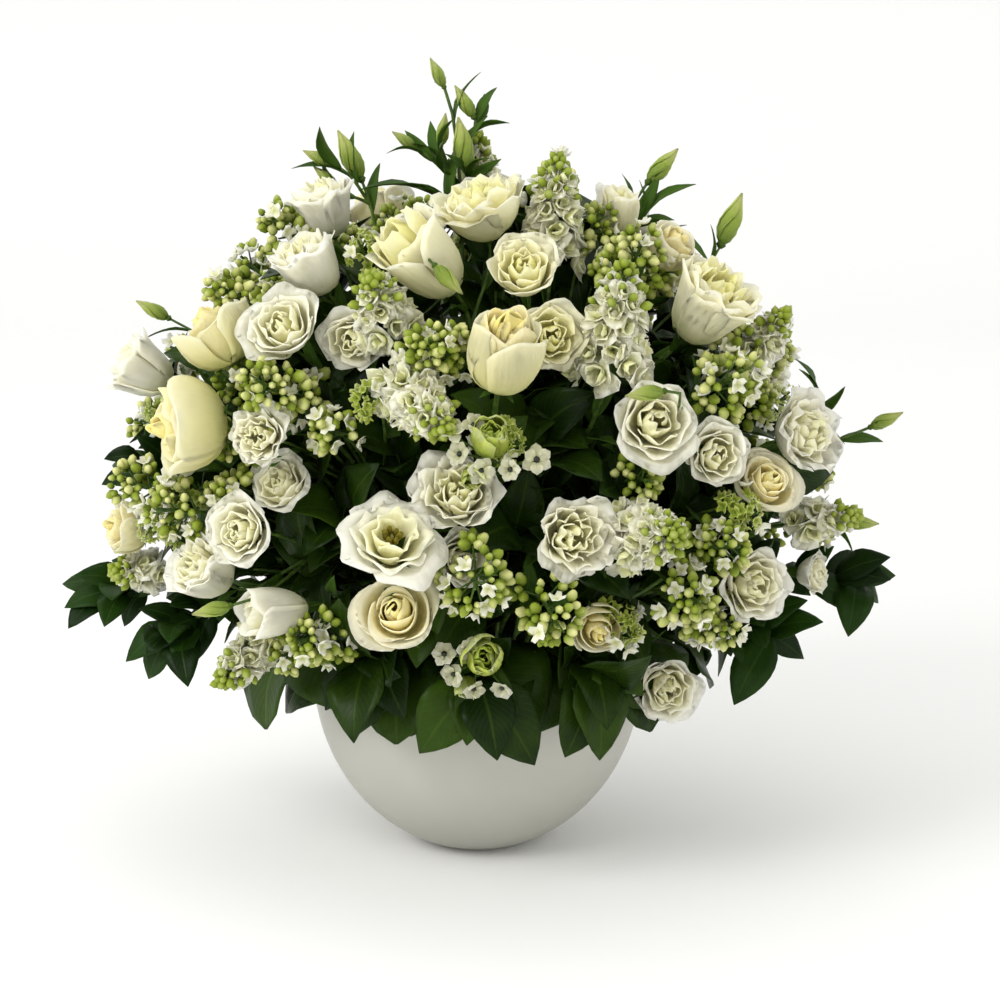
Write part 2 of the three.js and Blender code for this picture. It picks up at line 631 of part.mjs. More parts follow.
// Finds a free way through the foam for a node's stem, and keeps it free, with the stem's two straight ends
function reserveMain(node, carried) {
  const middle = new THREE.Vector3();
  carried.forEach((item) => middle.addScaledVector(item.base, 1 / carried.length));
  const [turn, slope] = entryTo(middle);
  const top = carried.length > 1 ? Math.max(STEM_STRAIGHT, 0.5 * middle.distanceTo(HEART)) : STEM_STRAIGHT;
  for (const lean of [0, 7, -7, 14, 21]) {
    for (const swing of [0, 8, -8, 16, -16, 24, -24]) {
      const way = facing(turn + swing, Math.max(LOWEST_ENTRY, slope + lean));
      const ends = [STEM_START, top].map((far) => HEART.clone().addScaledVector(way, far));
      const solid = grown(ends, STEM_RADIUS + CLEAR, PLAIN_END, axesAt(ends[1], way));
      if (!isClear(node, solid)) continue;
      reserve(node, solid);
      return { way, ends };
    }
  }
  throw new Error(`no way through the foam for ${node}`);
}

// The place on a stem where a branch to some base leaves it at a natural angle
const FORK_ANGLE = 38;
function forkPoint(stem, base) {
  let best = null;
  let least = Infinity;
  const bent = stem.slice(1);
  for (let share = 0.06; share < 0.9; share += 0.06) {
    const point = pointAlong(bent, share);
    const onward = pointAlong(bent, share + 0.02).sub(point);
    const miss = Math.abs(degrees(base.clone().sub(point).angleTo(onward)) - FORK_ANGLE);
    if (miss < least) [best, least] = [point, miss];
  }
  return best;
}

// A branch bends to the back of what it carries, by the straightest curve that clears everything.
// The first goes on from the straight stem in the foam, and the others fork off the first.
function placeBranch(node, main, item, first) {
  const fork = item === first ? main.ends[1] : forkPoint(first.stem, item.base);
  const far = fork.distanceTo(item.base);
  const direct = item.base.clone().sub(fork).normalize();
  const leave = direct.lerp(main.way, item === first ? 0.8 : 0.15).normalize();
  const side = new THREE.Vector3().crossVectors(main.way, item.face).normalize();
  const other = new THREE.Vector3().crossVectors(side, main.way).normalize();
  const steps = far > 100 ? 3 : 2;
  for (const push of [0, 10, 20, 32, 46, 62, 80]) {
    for (let a = 0; a < (push ? 2 * Math.PI : 0.1); a += Math.PI / 4) {
      const offset = side.clone().multiplyScalar(push * Math.cos(a));
      offset.addScaledVector(other, push * Math.sin(a));
      const out = fork.clone().addScaledVector(leave, 0.35 * far).add(offset);
      const back = item.base.clone().addScaledVector(item.face, -Math.min(0.4 * far, 45));
      const curve = new THREE.CubicBezierCurve3(fork, out, back.addScaledVector(offset, 0.4), item.base);
      const bent = curve.getSpacedPoints(steps);
      const stem = item === first ? [main.ends[0], ...bent] : bent;
      const solid = grown(stem, STEM_RADIUS, item.head ?? PLAIN_END, item.axes, item.seed);
      if (!isClear(node, solid)) continue;
      place(node, solid);
      item.stem = stem;
      return;
    }
  }
  throw new Error(`no way to ${item.at.toArray()} in ${node}`);
}

// A node's pieces as one body, with any hollow that joining has sealed filled
function joined(node) {
  const shells = bodies.get(node).decompose();
  return shells.reduce((a, b) => (a.volume() > b.volume() ? a : b)).simplify(0.02);
}

function meshOf(node, solid, material) {
  const { numVert, numProp, vertProperties, triVerts } = solid.getMesh();
  const position = new Float32Array(numVert * 3);
  for (let i = 0; i < numVert; i++) {
    position.set(vertProperties.subarray(i * numProp, i * numProp + 3), i * 3);
  }
  const g = new THREE.BufferGeometry();
  g.setAttribute("position", new THREE.BufferAttribute(position, 3));
  g.setIndex(new THREE.BufferAttribute(triVerts, 1));
  g.computeVertexNormals();
  const mesh = new THREE.Mesh(g, material);
  mesh.name = node;
  return mesh;
}

const items = LAYOUT.flatMap(([node, , carried]) => carried.map((item) => Object.assign(item, { node })));
easeApart(items.filter((item) => item.room > 0));
items.forEach((item, i) => {
  item.seed = 100 * (i + 1);
  item.base = item.at.clone().addScaledVector(item.face, -item.back);
  item.axes = axesAt(item.base, item.face, 2 * Math.PI * draw(item.seed));
});

// The bowl and every head take their places first, then the stems, and the small pieces last
place("bowl", bowlSolid());
items.forEach(({ node, head, axes, seed }) => {
  if (head) reserve(node, grown([], 0, head, axes, seed));
});
const mains = LAYOUT.map(([node, , carried]) => reserveMain(node, carried));
LAYOUT.forEach(([node, , carried], i) => {
  carried.forEach((item) => placeBranch(node, mains[i], item, carried[0]));
});
reserve("foam", foamBlank());
items.forEach(({ node, base, face, seed, stem, trims }) => {
  trims(base, face, seed, stem).forEach((choices) => placeSmall(node, choices));
});

// Each stem's hole follows its straight part with a little room all round
const holes = LAYOUT.map(([, , [first]], i) => {
  const { way } = mains[i];
  const [foot] = stemFrames(first.stem, first.axes);
  const from = first.stem[0].clone().addScaledVector(way, -CLEAR);
  const to = first.stem[1].clone().addScaledVector(way, CLEAR);
  return grown([from, to], STEM_RADIUS + 2 * CLEAR, PLAIN_END, foot.setPosition(to));
});
bodies.set("foam", Manifold.difference([foamBlank(), ...holes]));

const group = new THREE.Group();
group.add(meshOf("bowl", joined("bowl"), glaze));
group.add(meshOf("foam", joined("foam"), foam_green));
LAYOUT.forEach(([node, material]) => group.add(meshOf(node, joined(node), material)));

export default group;
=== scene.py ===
# A dome of white and cream flowers in wet foam, in a round white bowl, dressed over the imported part.
# Metres, +Z up. The bowl stands on z = 0 on its own axis, and the dome's front faces -Y.
import math
from types import SimpleNamespace

import bpy
import numpy as np
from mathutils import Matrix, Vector


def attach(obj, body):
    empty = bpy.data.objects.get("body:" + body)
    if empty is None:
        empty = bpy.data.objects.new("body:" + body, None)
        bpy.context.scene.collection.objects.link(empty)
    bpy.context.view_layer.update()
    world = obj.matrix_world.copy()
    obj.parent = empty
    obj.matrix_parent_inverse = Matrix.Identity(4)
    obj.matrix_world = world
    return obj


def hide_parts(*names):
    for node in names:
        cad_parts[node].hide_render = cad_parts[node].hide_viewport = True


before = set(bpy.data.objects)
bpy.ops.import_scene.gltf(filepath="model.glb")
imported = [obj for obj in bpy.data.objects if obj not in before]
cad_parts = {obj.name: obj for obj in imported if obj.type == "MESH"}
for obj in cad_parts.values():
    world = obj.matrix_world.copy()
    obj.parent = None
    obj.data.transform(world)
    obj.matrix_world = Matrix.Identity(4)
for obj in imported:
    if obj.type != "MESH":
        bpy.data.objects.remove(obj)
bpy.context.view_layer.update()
mm = 0.001


# Bowl. A round bowl of white stoneware with a thin wall and a small flat foot, cast in a mould and glazed
# all over. The satin glaze is faintly mottled, and a painted shade darkens it towards the foot.
BOWL_RADIUS = 133 * mm
BOWL_RISE = 147.6 * mm  # half the height of the oval that the wall follows
BOWL_RIM = 158 * mm
BOWL_WALL = 5 * mm
BOWL_FLOOR = 7 * mm
BOWL_SIDES = 112
LIP_HEIGHT = 3 * mm
LIP_DRAW = 0.992  # how far the lip is drawn in, as a share of its radius
FOOT_RADIUS = 36 * mm
FOOT_HOLLOW = 0.6 * mm
WIDEST = BOWL_RISE * math.sqrt(1 - (FOOT_RADIUS / BOWL_RADIUS) ** 2)


def bowl_curve(inset, low, high, points):
    """The wall's curve between two heights, moved in by an inset."""
    rise = BOWL_RISE - inset
    angles = np.linspace(math.acos((WIDEST - low) / rise), math.acos((WIDEST - high) / rise), points)
    return [((BOWL_RADIUS - inset) * math.sin(a), WIDEST - rise * math.cos(a)) for a in angles]


def turned(profile, sides):
    """A closed surface from a profile of (radius, height) that starts and ends on the axis."""
    rings = np.array(profile[1:-1])
    a = np.linspace(0, 2 * np.pi, sides, endpoint=False)
    spokes = np.stack([np.cos(a), np.sin(a), np.zeros(sides)], 1)
    points = rings[:, None, :1] * spokes[None] + rings[:, None, 1:] * np.array([0, 0, 1])
    verts = np.vstack([points.reshape(-1, 3), [(0, 0, profile[0][1]), (0, 0, profile[-1][1])]])
    first, last = len(verts) - 2, len(verts) - 1
    last_ring = (len(rings) - 1) * sides
    faces = []
    for j in range(sides):
        k = (j + 1) % sides
        faces.append((first, k, j))
        for i in range(0, last_ring, sides):
            faces.append((i + j, i + k, i + sides + k, i + sides + j))
        faces.append((last, last_ring + j, last_ring + k))
    return verts, faces


def new_object(name, data):
    """An object in the scene."""
    made = bpy.data.objects.new(name, data)
    bpy.context.scene.collection.objects.link(made)
    return made


def mesh_object(name, shells, material):
    """One object from closed shells of (points, faces), or (points, faces, tone) with a tone at each point.
    A tone is the place across a petal or leaf, the place along it, and a shade, for the material to read."""
    verts, faces, tones, start = [], [], [], 0
    for points, corners, *tone in shells:
        verts.append(points)
        faces += [tuple(start + i for i in face) for face in corners]
        tones.append(tone[0] if tone else np.zeros((len(points), 3)))
        start += len(points)
    mesh = bpy.data.meshes.new(name)
    mesh.from_pydata(np.vstack(verts).tolist(), [], faces)
    blade = mesh.attributes.new("blade", "FLOAT_VECTOR", "POINT")
    blade.data.foreach_set("vector", np.vstack(tones).ravel())
    mesh.materials.append(material)
    mesh.shade_smooth()
    return new_object(name, mesh)


def linear(hex_color):
    """An sRGB hex value as a linear colour."""
    srgb = [int(hex_color[i:i + 2], 16) / 255 for i in (1, 3, 5)]
    return (*[c / 12.92 if c <= 0.04045 else ((c + 0.055) / 1.055) ** 2.4 for c in srgb], 1)


def add_node(tree, kind, inputs=(), **settings):
    """Adds a node, sets it up, and links or sets its inputs by name or number."""
    node = tree.nodes.new(kind)
    for name, value in settings.items():
        setattr(node, name, value)
    for socket, value in dict(inputs).items():
        if isinstance(value, bpy.types.NodeSocket):
            tree.links.new(value, node.inputs[socket])
        else:
            node.inputs[socket].default_value = value
    return node


def new_material(name, **shader_values):
    """A material with some values set on its shader. Gives the material, its node tree and the shader."""
    material = bpy.data.materials.new(name)
    material.use_nodes = True
    shader = material.node_tree.nodes["Principled BSDF"]
    for socket, value in shader_values.items():
        shader.inputs[socket.replace("_", " ")].default_value = value
    return material, material.node_tree, shader


def noise(tree, where, width, detail=2):
    """Noise from 0 to 1 in patches of some width."""
    return add_node(tree, "ShaderNodeTexNoise", {
        "Vector": where, "Scale": 1 / width, "Detail": detail}).outputs["Fac"]


def worked_out(tree, operation, *values):
    """The result of one sum on numbers or other nodes' outputs."""
    return add_node(tree, "ShaderNodeMath", dict(enumerate(values)), operation=operation).outputs[0]


def ramp(tree, value, *steps):
    """The colours of a ramp over a value, with its stops from (place, hex colour) pairs."""
    node = add_node(tree, "ShaderNodeValToRGB", {"Fac": value})
    elements = node.color_ramp.elements
    while len(elements) < len(steps):
        elements.new(0.5)
    for element, (place, hex_color) in zip(elements, steps):
        element.position = place
        element.color = linear(hex_color)
    return node.outputs["Color"]


def bump(tree, height, strength, distance, **under):
    """A surface with a height pressed into it, over another bump where one is given."""
    return add_node(tree, "ShaderNodeBump", {
        "Height": height, "Strength": strength, "Distance": distance, **under}).outputs["Normal"]


def put(piece, slot, *nodes):
    """Hangs a piece on the one body, in the place of its solids, and hides the solids. Its slot is not used.
    """
    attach(piece, "root")
    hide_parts(*nodes)


foot_ring = [(0, FOOT_HOLLOW), (FOOT_RADIUS - 9 * mm, FOOT_HOLLOW),
             (FOOT_RADIUS - 6 * mm, 0), (FOOT_RADIUS, 0)]
lip = [(BOWL_RADIUS - 0.4 * mm, BOWL_RIM - 1.6 * mm), (BOWL_RADIUS - 1.5 * mm, BOWL_RIM - 0.3 * mm),
       (BOWL_RADIUS - 2.8 * mm, BOWL_RIM), (BOWL_RADIUS - 4.2 * mm, BOWL_RIM - 0.5 * mm)]
outside = bowl_curve(0, FOOT_HOLLOW, BOWL_RIM - LIP_HEIGHT, 44)
inside = bowl_curve(BOWL_WALL, BOWL_FLOOR, BOWL_RIM - LIP_HEIGHT, 32)
bowl_profile = foot_ring + outside + [(r * LIP_DRAW, z) for r, z in lip] + inside[::-1] + [(0, BOWL_FLOOR)]

# Satin white glaze: soft highlights, a faint mottle 40 mm wide, a painted shade that darkens it from the rim
# down to the foot, and a fine unevenness 2 mm across
glaze, nodes, shader = new_material("satin_white_glaze_on_stoneware", Roughness=0.42, IOR=1.45)
where = add_node(nodes, "ShaderNodeTexCoord").outputs["Object"]
mottle = noise(nodes, where, 40 * mm, 3)
up = add_node(nodes, "ShaderNodeSeparateXYZ", {"Vector": where}).outputs["Z"]
# Painted shade: the tone is darker the nearer it is to the foot, with the mottle laid over it
height = worked_out(nodes, "MULTIPLY", up, 1 / BOWL_RIM)
painted_shade_and_mottle = worked_out(nodes, "MULTIPLY_ADD", mottle, 0.15, height)
tone = ramp(nodes, painted_shade_and_mottle, (0.08, "#9c9b90"), (0.75, "#bebdb3"))
nodes.links.new(tone, shader.inputs["Base Color"])
uneven = bump(nodes, noise(nodes, where, 2 * mm), 0.06, 0.2 * mm)
nodes.links.new(uneven, shader.inputs["Normal"])

bowl = mesh_object("white_bowl", [turned(bowl_profile, BOWL_SIDES)], glaze)
put(bowl, "glaze", "bowl")


# Foam. A round block of wet phenolic foam, cut to fill the bowl and heaped above its rim. Its open cells make
# it dull and rough, and water makes it dark green. The stems are pushed straight into it.
FOAM_TOP = 190 * mm
FOAM_BOTTOM = 7.4 * mm
FOAM_NECK = 98 * mm  # its radius where it stands above the rim
FOAM_CROWN = 0.76 * FOAM_NECK
FOAM_GAP = 2 * mm  # between the foam and the bowl's wall
CRUMBLE = 0.02  # how far its edge is worn above the rim, as a share of its size


def draw(n):
    """A number from 0 to 1 that is the same each time for the same count."""
    s = abs(math.sin(n * 12.9898)) * 43758.5453
    return s - math.floor(s)


foam_profile = [(0, FOAM_BOTTOM)]
foam_profile += bowl_curve(BOWL_WALL + FOAM_GAP, FOAM_BOTTOM, BOWL_RIM - 6 * mm, 14)
foam_profile += [(FOAM_NECK + 6 * mm, BOWL_RIM - 1 * mm), (FOAM_NECK, BOWL_RIM + 3 * mm)]
foam_profile += [(FOAM_NECK * (1 - 0.05 * i), BOWL_RIM + 8 * i * mm) for i in range(1, 4)]
foam_profile += [(0.8 * FOAM_NECK, FOAM_TOP - 2 * mm), (FOAM_CROWN, FOAM_TOP)]
foam_profile += [(FOAM_CROWN * (1 - i / 6), FOAM_TOP) for i in range(1, 6)] + [(0, FOAM_TOP)]
points, faces = turned(foam_profile, 72)
worn = np.array([draw(i) for i in range(len(points))])
above = points[:, 2] > BOWL_RIM
points[above] *= 1 - CRUMBLE * worn[above, None]

# Wet foam: dark green and matt, with cells drawn 2 mm wide so that they show
wet_foam, nodes, shader = new_material("wet_phenolic_foam", Roughness=0.9)
where = add_node(nodes, "ShaderNodeTexCoord").outputs["Object"]
cells = add_node(nodes, "ShaderNodeTexVoronoi", {"Vector": where, "Scale": 1 / (2 * mm)}).outputs["Distance"]
tone = ramp(nodes, cells, (0.1, "#1d3a26"), (0.8, "#2f5c3b"))
nodes.links.new(tone, shader.inputs["Base Color"])
nodes.links.new(bump(nodes, cells, 1.0, 1 * mm), shader.inputs["Normal"])

foam = mesh_object("floral_foam", [(points, faces)], wet_foam)
put(foam, "foam", "foam")


# Stems. Every flower stands in the foam on its own green stem, which forks to its heads, and the fat heads
# press each other apart. A stem is 4 mm thick in the foam and thinner higher up, with a matt, streaked skin.
HEART = Vector((0, 0, 100 * mm))  # where the stems would meet, in the foam
HEART_REACH = 72 * mm  # the solids' stems start within this distance of it
STRAIGHT = 126 * mm  # a stem runs straight for this distance from it
FORK_ANGLE = 38  # in degrees, between a stem and its branch
EASING_ROUNDS = 60

# The dome that the back heads stand on, in mm: half its width, half its depth, its rise above its middle, its
# drop below, and its middle's height
DOME = SimpleNamespace(x=265, y=225, up=222, down=165, middle=310)

# The height of each bloom as a share of its width
BLOOM_HEIGHT = {"open_rose": 0.64, "rose": 0.74, "rose_bud": 1.2, "lisianthus": 0.74, "ruffled": 0.76,
                "cup": 1.4, "bell": 0.86, "open": 0.74, "star": 0.4}


def facing(turn, tilt):
    """A way to face, in degrees. Turn 0 is to the front and 90 to the right, and tilt is above level."""
    a, e = math.radians(turn), math.radians(tilt)
    return Vector((math.sin(a) * math.cos(e), -math.cos(a) * math.cos(e), math.sin(e)))


def head(kind, at, face, room, back, **facts):
    """What a stem ends in. It keeps others out of a ball of radius room, and the stem ends at its back."""
    at = Vector(at) * mm
    return SimpleNamespace(kind=kind, at=at, face=face, room=room * mm, back=back * mm, **facts)


def bloom(form, width, at, turn, tilt):
    """A bloom of some form, with the middle of its height at a place."""
    room = (0.3 if form == "star" else 0.52) * width
    back = BLOOM_HEIGHT[form] * width / 2
    return head(form, at, facing(turn, tilt), room, back, width=width * mm)


def bud(low, tip):
    """A closed bud from its low end to its tip."""
    way = Vector(tip) - Vector(low)
    middle = (Vector(tip) + Vector(low)) / 2
    length = way.length
    return head("bud", middle, way.normalized(), length * 0.22, length / 2, width=length * mm)


def pearls(width, at, turn, tilt):
    """A bunch of round buds."""
    return head("pearls", at, facing(turn, tilt), 0.32 * width, 0.15 * width, width=width * mm)


def spike(width, length, at, turn, tilt):
    """A spike of florets, with the middle of its length at a place."""
    room = 0.36 * width
    return head("spike", at, facing(turn, tilt), room, length / 2, width=width * mm, length=length * mm)


def twig(at, turn, tilt, leaf, tips):
    """The end of a leafy twig, with the tips of the leaves that have a place of their own."""
    return head(leaf, at, facing(turn, tilt), 0, 0, tips=[Vector(tip) * mm for tip in tips])


def on_dome(turn, lift):
    """The place on the dome, in mm, that lies in a direction from its middle."""
    way = facing(turn, lift)
    rise = DOME.up if way.z > 0 else DOME.down
    return (DOME.x * way.x, DOME.y * way.y, DOME.middle + rise * way.z)


def back_bloom(form, width, turn, lift):
    """A bloom on the dome, in a direction from its middle."""
    return bloom(form, width, on_dome(turn, lift), turn, 0.7 * lift + 8)


def back_pearls(width, turn, lift):
    """A bunch of round buds on the dome."""
    return pearls(width, on_dome(turn, lift), turn, lift)


def back_spike(width, length, turn, lift):
    """A spike on the dome, which leans further up than the dome's surface does."""
    return spike(width, length, on_dome(turn, lift), turn, lift + 25)


def rim_twig(turn, drop):
    """A twig that hangs over the rim at a turn. Its places are given as across, outwards and up."""
    a = math.radians(turn)
    places = [(0, 203, 125 - drop), (-44, 202, 156 - drop), (46, 200, 150 - drop),
              (4, 226, 192), (0, 178, 186)]
    *tips, end = [
        (x * math.cos(a) + y * math.sin(a), x * math.sin(a) - y * math.cos(a), z) for x, y, z in places]
    return twig(end, turn, -25, "salal", tips)


# What each stem carries: a head's width in mm, its place, and the turn and tilt that it faces
CARRIED = {
    "rose_1": [bloom("rose", 58, (-183, -162, 425), -100, 55)],
    "rose_2": [bloom("rose", 70, (-201, -182, 371), -75, 0)],
    "rose_3": [bloom("rose", 44, (-262, -108, 278), -70, 10)],
    "rose_4": [bloom("rose_bud", 54, (21, -252, 428), 15, 60)],
    "rose_5": [bloom("rose", 42, (139, -135, 486), 60, 45)],
    "rose_6": [bloom("open_rose", 54, (203, -177, 331), 20, 35)],
    "rose_7": [bloom("open_rose", 60, (-52, -252, 250), -8, 26)],
    "rose_8": [bloom("rose", 40, (88, -203, 223), 10, -10)],
    "rose_9": [back_bloom("open_rose", 58, 155, -12)],
    "rose_10": [back_bloom("rose", 58, 210, 12)],
    "rose_11": [back_bloom("rose", 56, 132, 36)],
    "rose_12": [back_bloom("open_rose", 58, 222, 62)],
    "lisianthus_1": [
        bloom("bell", 48, (-110, -111, 515), -60, 70),
        bloom("bell", 50, (-117, -164, 474), -60, 58),
        bloom("lisianthus", 54, (-131, -189, 436), -15, 35)],
    "lisianthus_2": [
        bloom("bell", 48, (-245, -108, 397), -90, 30),
        bloom("lisianthus", 42, (-89, -187, 430), -10, 0),
        bloom("ruffled", 40, (-149, -212, 369), -20, 10),
        bloom("lisianthus", 44, (-138, -186, 323), -30, 35)],
    "lisianthus_3": [
        bloom("lisianthus", 48, (-164, -218, 296), -25, 10),
        bloom("bell", 46, (-192, -191, 261), -50, 35),
        bloom("cup", 38, (-143, -211, 237), -60, 0),
        bud((-172, -215, 242), (-200, -218, 236))],
    "lisianthus_4": [
        bloom("cup", 58, (-35, -174, 489), -50, 40),
        bloom("ruffled", 68, (1, -144, 517), -40, 70),
        bud((-28, -205, 482), (-8, -212, 462))],
    "lisianthus_5": [
        bloom("lisianthus", 50, (38, -193, 471), -10, 40),
        bloom("lisianthus", 48, (54, -203, 438), 10, 15)],
    "lisianthus_6": [
        bloom("cup", 30, (107, -112, 515), 0, 80),
        bloom("bell", 64, (164, -157, 450), 55, 50)],
    "lisianthus_7": [
        bloom("lisianthus", 58, (129, -220, 375), 10, 15),
        bloom("ruffled", 58, (237, -144, 351), 50, 20),
        bloom("lisianthus", 46, (175, -196, 345), 15, 5),
        bud((134, -235, 393), (106, -240, 390))],
    "lisianthus_8": [
        bloom("lisianthus", 52, (200, -171, 247), 25, 5),
        bloom("lisianthus", 34, (259, -79, 236), 60, 0),
        bloom("lisianthus", 50, (143, -133, 161), 10, -6)],
    "lisianthus_9": [
        bloom("ruffled", 58, (-18, -245, 320), -5, 35),
        bloom("open", 62, (-48, -267, 299), 10, 46),
        bloom("lisianthus", 42, (-9, -225, 280), 20, 0)],
    "lisianthus_10": [bloom("ruffled", 54, (68, -248, 298), 15, 10)],
    "lisianthus_11": [
        back_bloom("lisianthus", 54, 104, -12),
        back_bloom("ruffled", 56, 130, 12),
        back_bloom("lisianthus", 56, 118, 60)],
    "lisianthus_12": [
        back_bloom("lisianthus", 56, 183, -10),
        back_bloom("ruffled", 58, 186, 33),
        back_bloom("lisianthus", 58, 165, 62)],
    "lisianthus_13": [
        back_bloom("lisianthus", 56, 230, -12),
        back_bloom("lisianthus", 54, 254, 14),
        back_bloom("ruffled", 58, 236, 38)],
    "stock_1": [spike(50, 78, (56, -138, 515), 10, 78)],
    "stock_2": [spike(60, 86, (96, -202, 440), 20, 70)],
    "stock_3": [spike(36, 52, (212, -134, 424), 50, 50)],
    "stock_4": [spike(56, 60, (122, -243, 298), 30, 10)],
    "stock_5": [spike(46, 60, (-166, -166, 194), -50, -35), pearls(34, (-118, -211, 216), -20, 0)],
    "stock_6": [spike(52, 72, (-36, -238, 388), 30, -20)],
    "stock_7": [spike(48, 56, (-66, -204, 450), -20, 50), pearls(38, (-30, -226, 425), 0, 30)],
    "stock_8": [spike(36, 50, (262, -110, 284), 75, 10)],
    "stock_9": [spike(50, 62, (233, 50, 382), 102, 60), back_spike(56, 70, 156, 38)],
    "stock_10": [back_spike(54, 66, 205, -10), back_spike(52, 76, 185, 84)],
    "pearls_1": [pearls(30, (-142, -107, 504), -50, 50), pearls(34, (-178, -138, 452), -60, 30)],
    "pearls_2": [pearls(52, (176, -184, 397), 30, 25)],
    "pearls_3": [
        pearls(46, (-211, -171, 302), -50, 10),
        pearls(38, (-247, -138, 315), -70, 20),
        spike(36, 42, (-256, -93, 242), -70, 0)],
    "pearls_4": [pearls(56, (1, -261, 270), 0, 0)],
    "pearls_5": [pearls(50, (53, -255, 246), 10, -10)],
    "pearls_6": [
        pearls(36, (178, -200, 281), 30, 10),
        pearls(38, (152, -212, 248), 20, 0),
        pearls(34, (177, -174, 221), 30, -20)],
    "pearls_7": [pearls(40, (119, -151, 485), 20, 45)],
    "pearls_8": [pearls(48, (-143, -206, 393), -25, 20)],
    "pearls_9": [back_pearls(50, 130, -16), back_pearls(52, 160, 12)],
    "pearls_10": [back_pearls(48, 256, -16), back_pearls(52, 218, 36)],
    "stars": [
        pearls(30, (8, -256, 356), 0, 20),
        bloom("star", 20, (43, -262, 354), 5, 10),
        pearls(30, (3, -226, 201), 0, -10)],
    "buds_top": [
        bud((-25, 0, 604), (-36, 0, 627)),
        bud((-2, 0, 581), (-17, 0, 606)),
        bud((-28, -10, 559), (-24, -10, 585)),
        bud((-7, -20, 540), (-14, -20, 582)),
        bud((-47, -20, 559), (-65, -20, 571)),
        twig((-20, -20, 515), 0, 80, "narrow", [
            (-45, -40, 529), (-56, -40, 533), (6, -10, 580), (-84, -50, 528)])],
    "buds_left": [
        bud((-88, -30, 534), (-106, -30, 572)),
        bud((-108, -40, 546), (-132, -40, 557)),
        bud((-106, -40, 529), (-124, -40, 545)),
        bud((-241, -10, 426), (-267, -10, 440))],
    "buds_right": [
        bud((131, -30, 532), (155, -20, 558)),
        bud((188, -30, 484), (205, -20, 524)),
        twig((125, -35, 505), 30, 70, "narrow", [
            (139, -30, 536), (165, -30, 530), (93, -40, 514), (174, -60, 474)])],
    "buds_low": [
        bud((305, -40, 344), (331, -40, 356)),
        bud((286, -50, 271), (314, -45, 269)),
        twig((262, -45, 355), 80, 20, "narrow", [
            (241, -80, 407), (245, -80, 395), (290, -40, 330), (284, -62, 380)])],
    "leaves_left": [
        twig((-296, -45, 212), -85, -10, "ruscus", [
            (-320, -60, 206), (-327, -30, 218), (-286, -90, 197),
            (-278, -95, 220), (-300, -10, 200), (-270, 0, 205)]),
        twig((-240, -98, 192), -65, -20, "ruscus", [
            (-269, -100, 172), (-248, -118, 184), (-217, -130, 162), (-229, -138, 196)]),
        twig((-262, -40, 318), -85, 20, "ruscus", [(-260, -62, 340), (-292, -40, 300)])],
    "leaves_right": [
        twig((300, -35, 222), 85, -5, "ruscus", [
            (333, -30, 225), (321, -60, 246), (288, -75, 188),
            (304, -50, 200), (310, 5, 215), (275, 10, 205)]),
        twig((226, -96, 192), 60, -20, "ruscus", [
            (251, -110, 223), (252, -90, 172), (217, -112, 160), (197, -112, 143), (215, -132, 208)])],
    "leaves_front_1": [
        twig((-78, -165, 192), -20, -20, "salal", [
            (-97, -216, 247), (-88, -212, 138), (-51, -184, 148), (-112, -172, 152), (-61, -205, 180)])],
    "leaves_front_2": [
        twig((2, -172, 178), 0, -25, "salal", [
            (-40, -178, 124), (-6, -192, 134), (42, -182, 117), (16, -200, 124)])],
    "leaves_front_3": [
        twig((82, -164, 184), 20, -25, "salal", [
            (92, -178, 116), (101, -205, 206), (66, -180, 119), (124, -172, 165), (96, -200, 146)])],
    "leaves_inner": [
        twig((-92, -150, 285), -30, 10, "salal", [
            (-134, -200, 309), (-76, -200, 290), (-118, -190, 262)]),
        twig((42, -140, 345), 10, 20, "salal", [
            (4, -185, 383), (88, -170, 389), (47, -190, 331), (80, -180, 350)]),
        twig((95, -150, 222), 30, 0, "salal", [(110, -205, 250), (125, -190, 192)])],
    "leaves_back_1": [rim_twig(100, 0), rim_twig(132, -12), rim_twig(164, 5)],
    "leaves_back_2": [rim_twig(196, -8), rim_twig(228, 4), rim_twig(258, -14)],
}

heads = [item for items in CARRIED.values() for item in items]
pressing = [item for item in heads if item.room]
for _ in range(EASING_ROUNDS):
    for i, a in enumerate(pressing):
        for b in pressing[i + 1:]:
            way = b.at - a.at
            short = a.room + b.room - way.length
            if short > 0:
                way *= short / 2 / way.length
                a.at = a.at - way
                b.at = b.at + way
for i, item in enumerate(heads):
    item.seed = 100 * (i + 1)
    item.base = item.at - item.face * item.back


def curve_shares(t):
    """How much each of a curve's four stops counts at a share of its length."""
    return ((1 - t) ** 3, 3 * t * (1 - t) ** 2, 3 * t * t * (1 - t), t ** 3)


def bent_path(start, leave, item, points=9):
    """A smooth path from a place on a stem to the back of what it carries."""
    far = (item.base - start).length
    out = start + leave * 0.35 * far
    back = item.base - item.face * min(0.4 * far, 45 * mm)
    shares = curve_shares(np.linspace(0, 1, points)[:, None])
    return sum(share * np.array(p) for share, p in zip(shares, (start, out, back, item.base)))


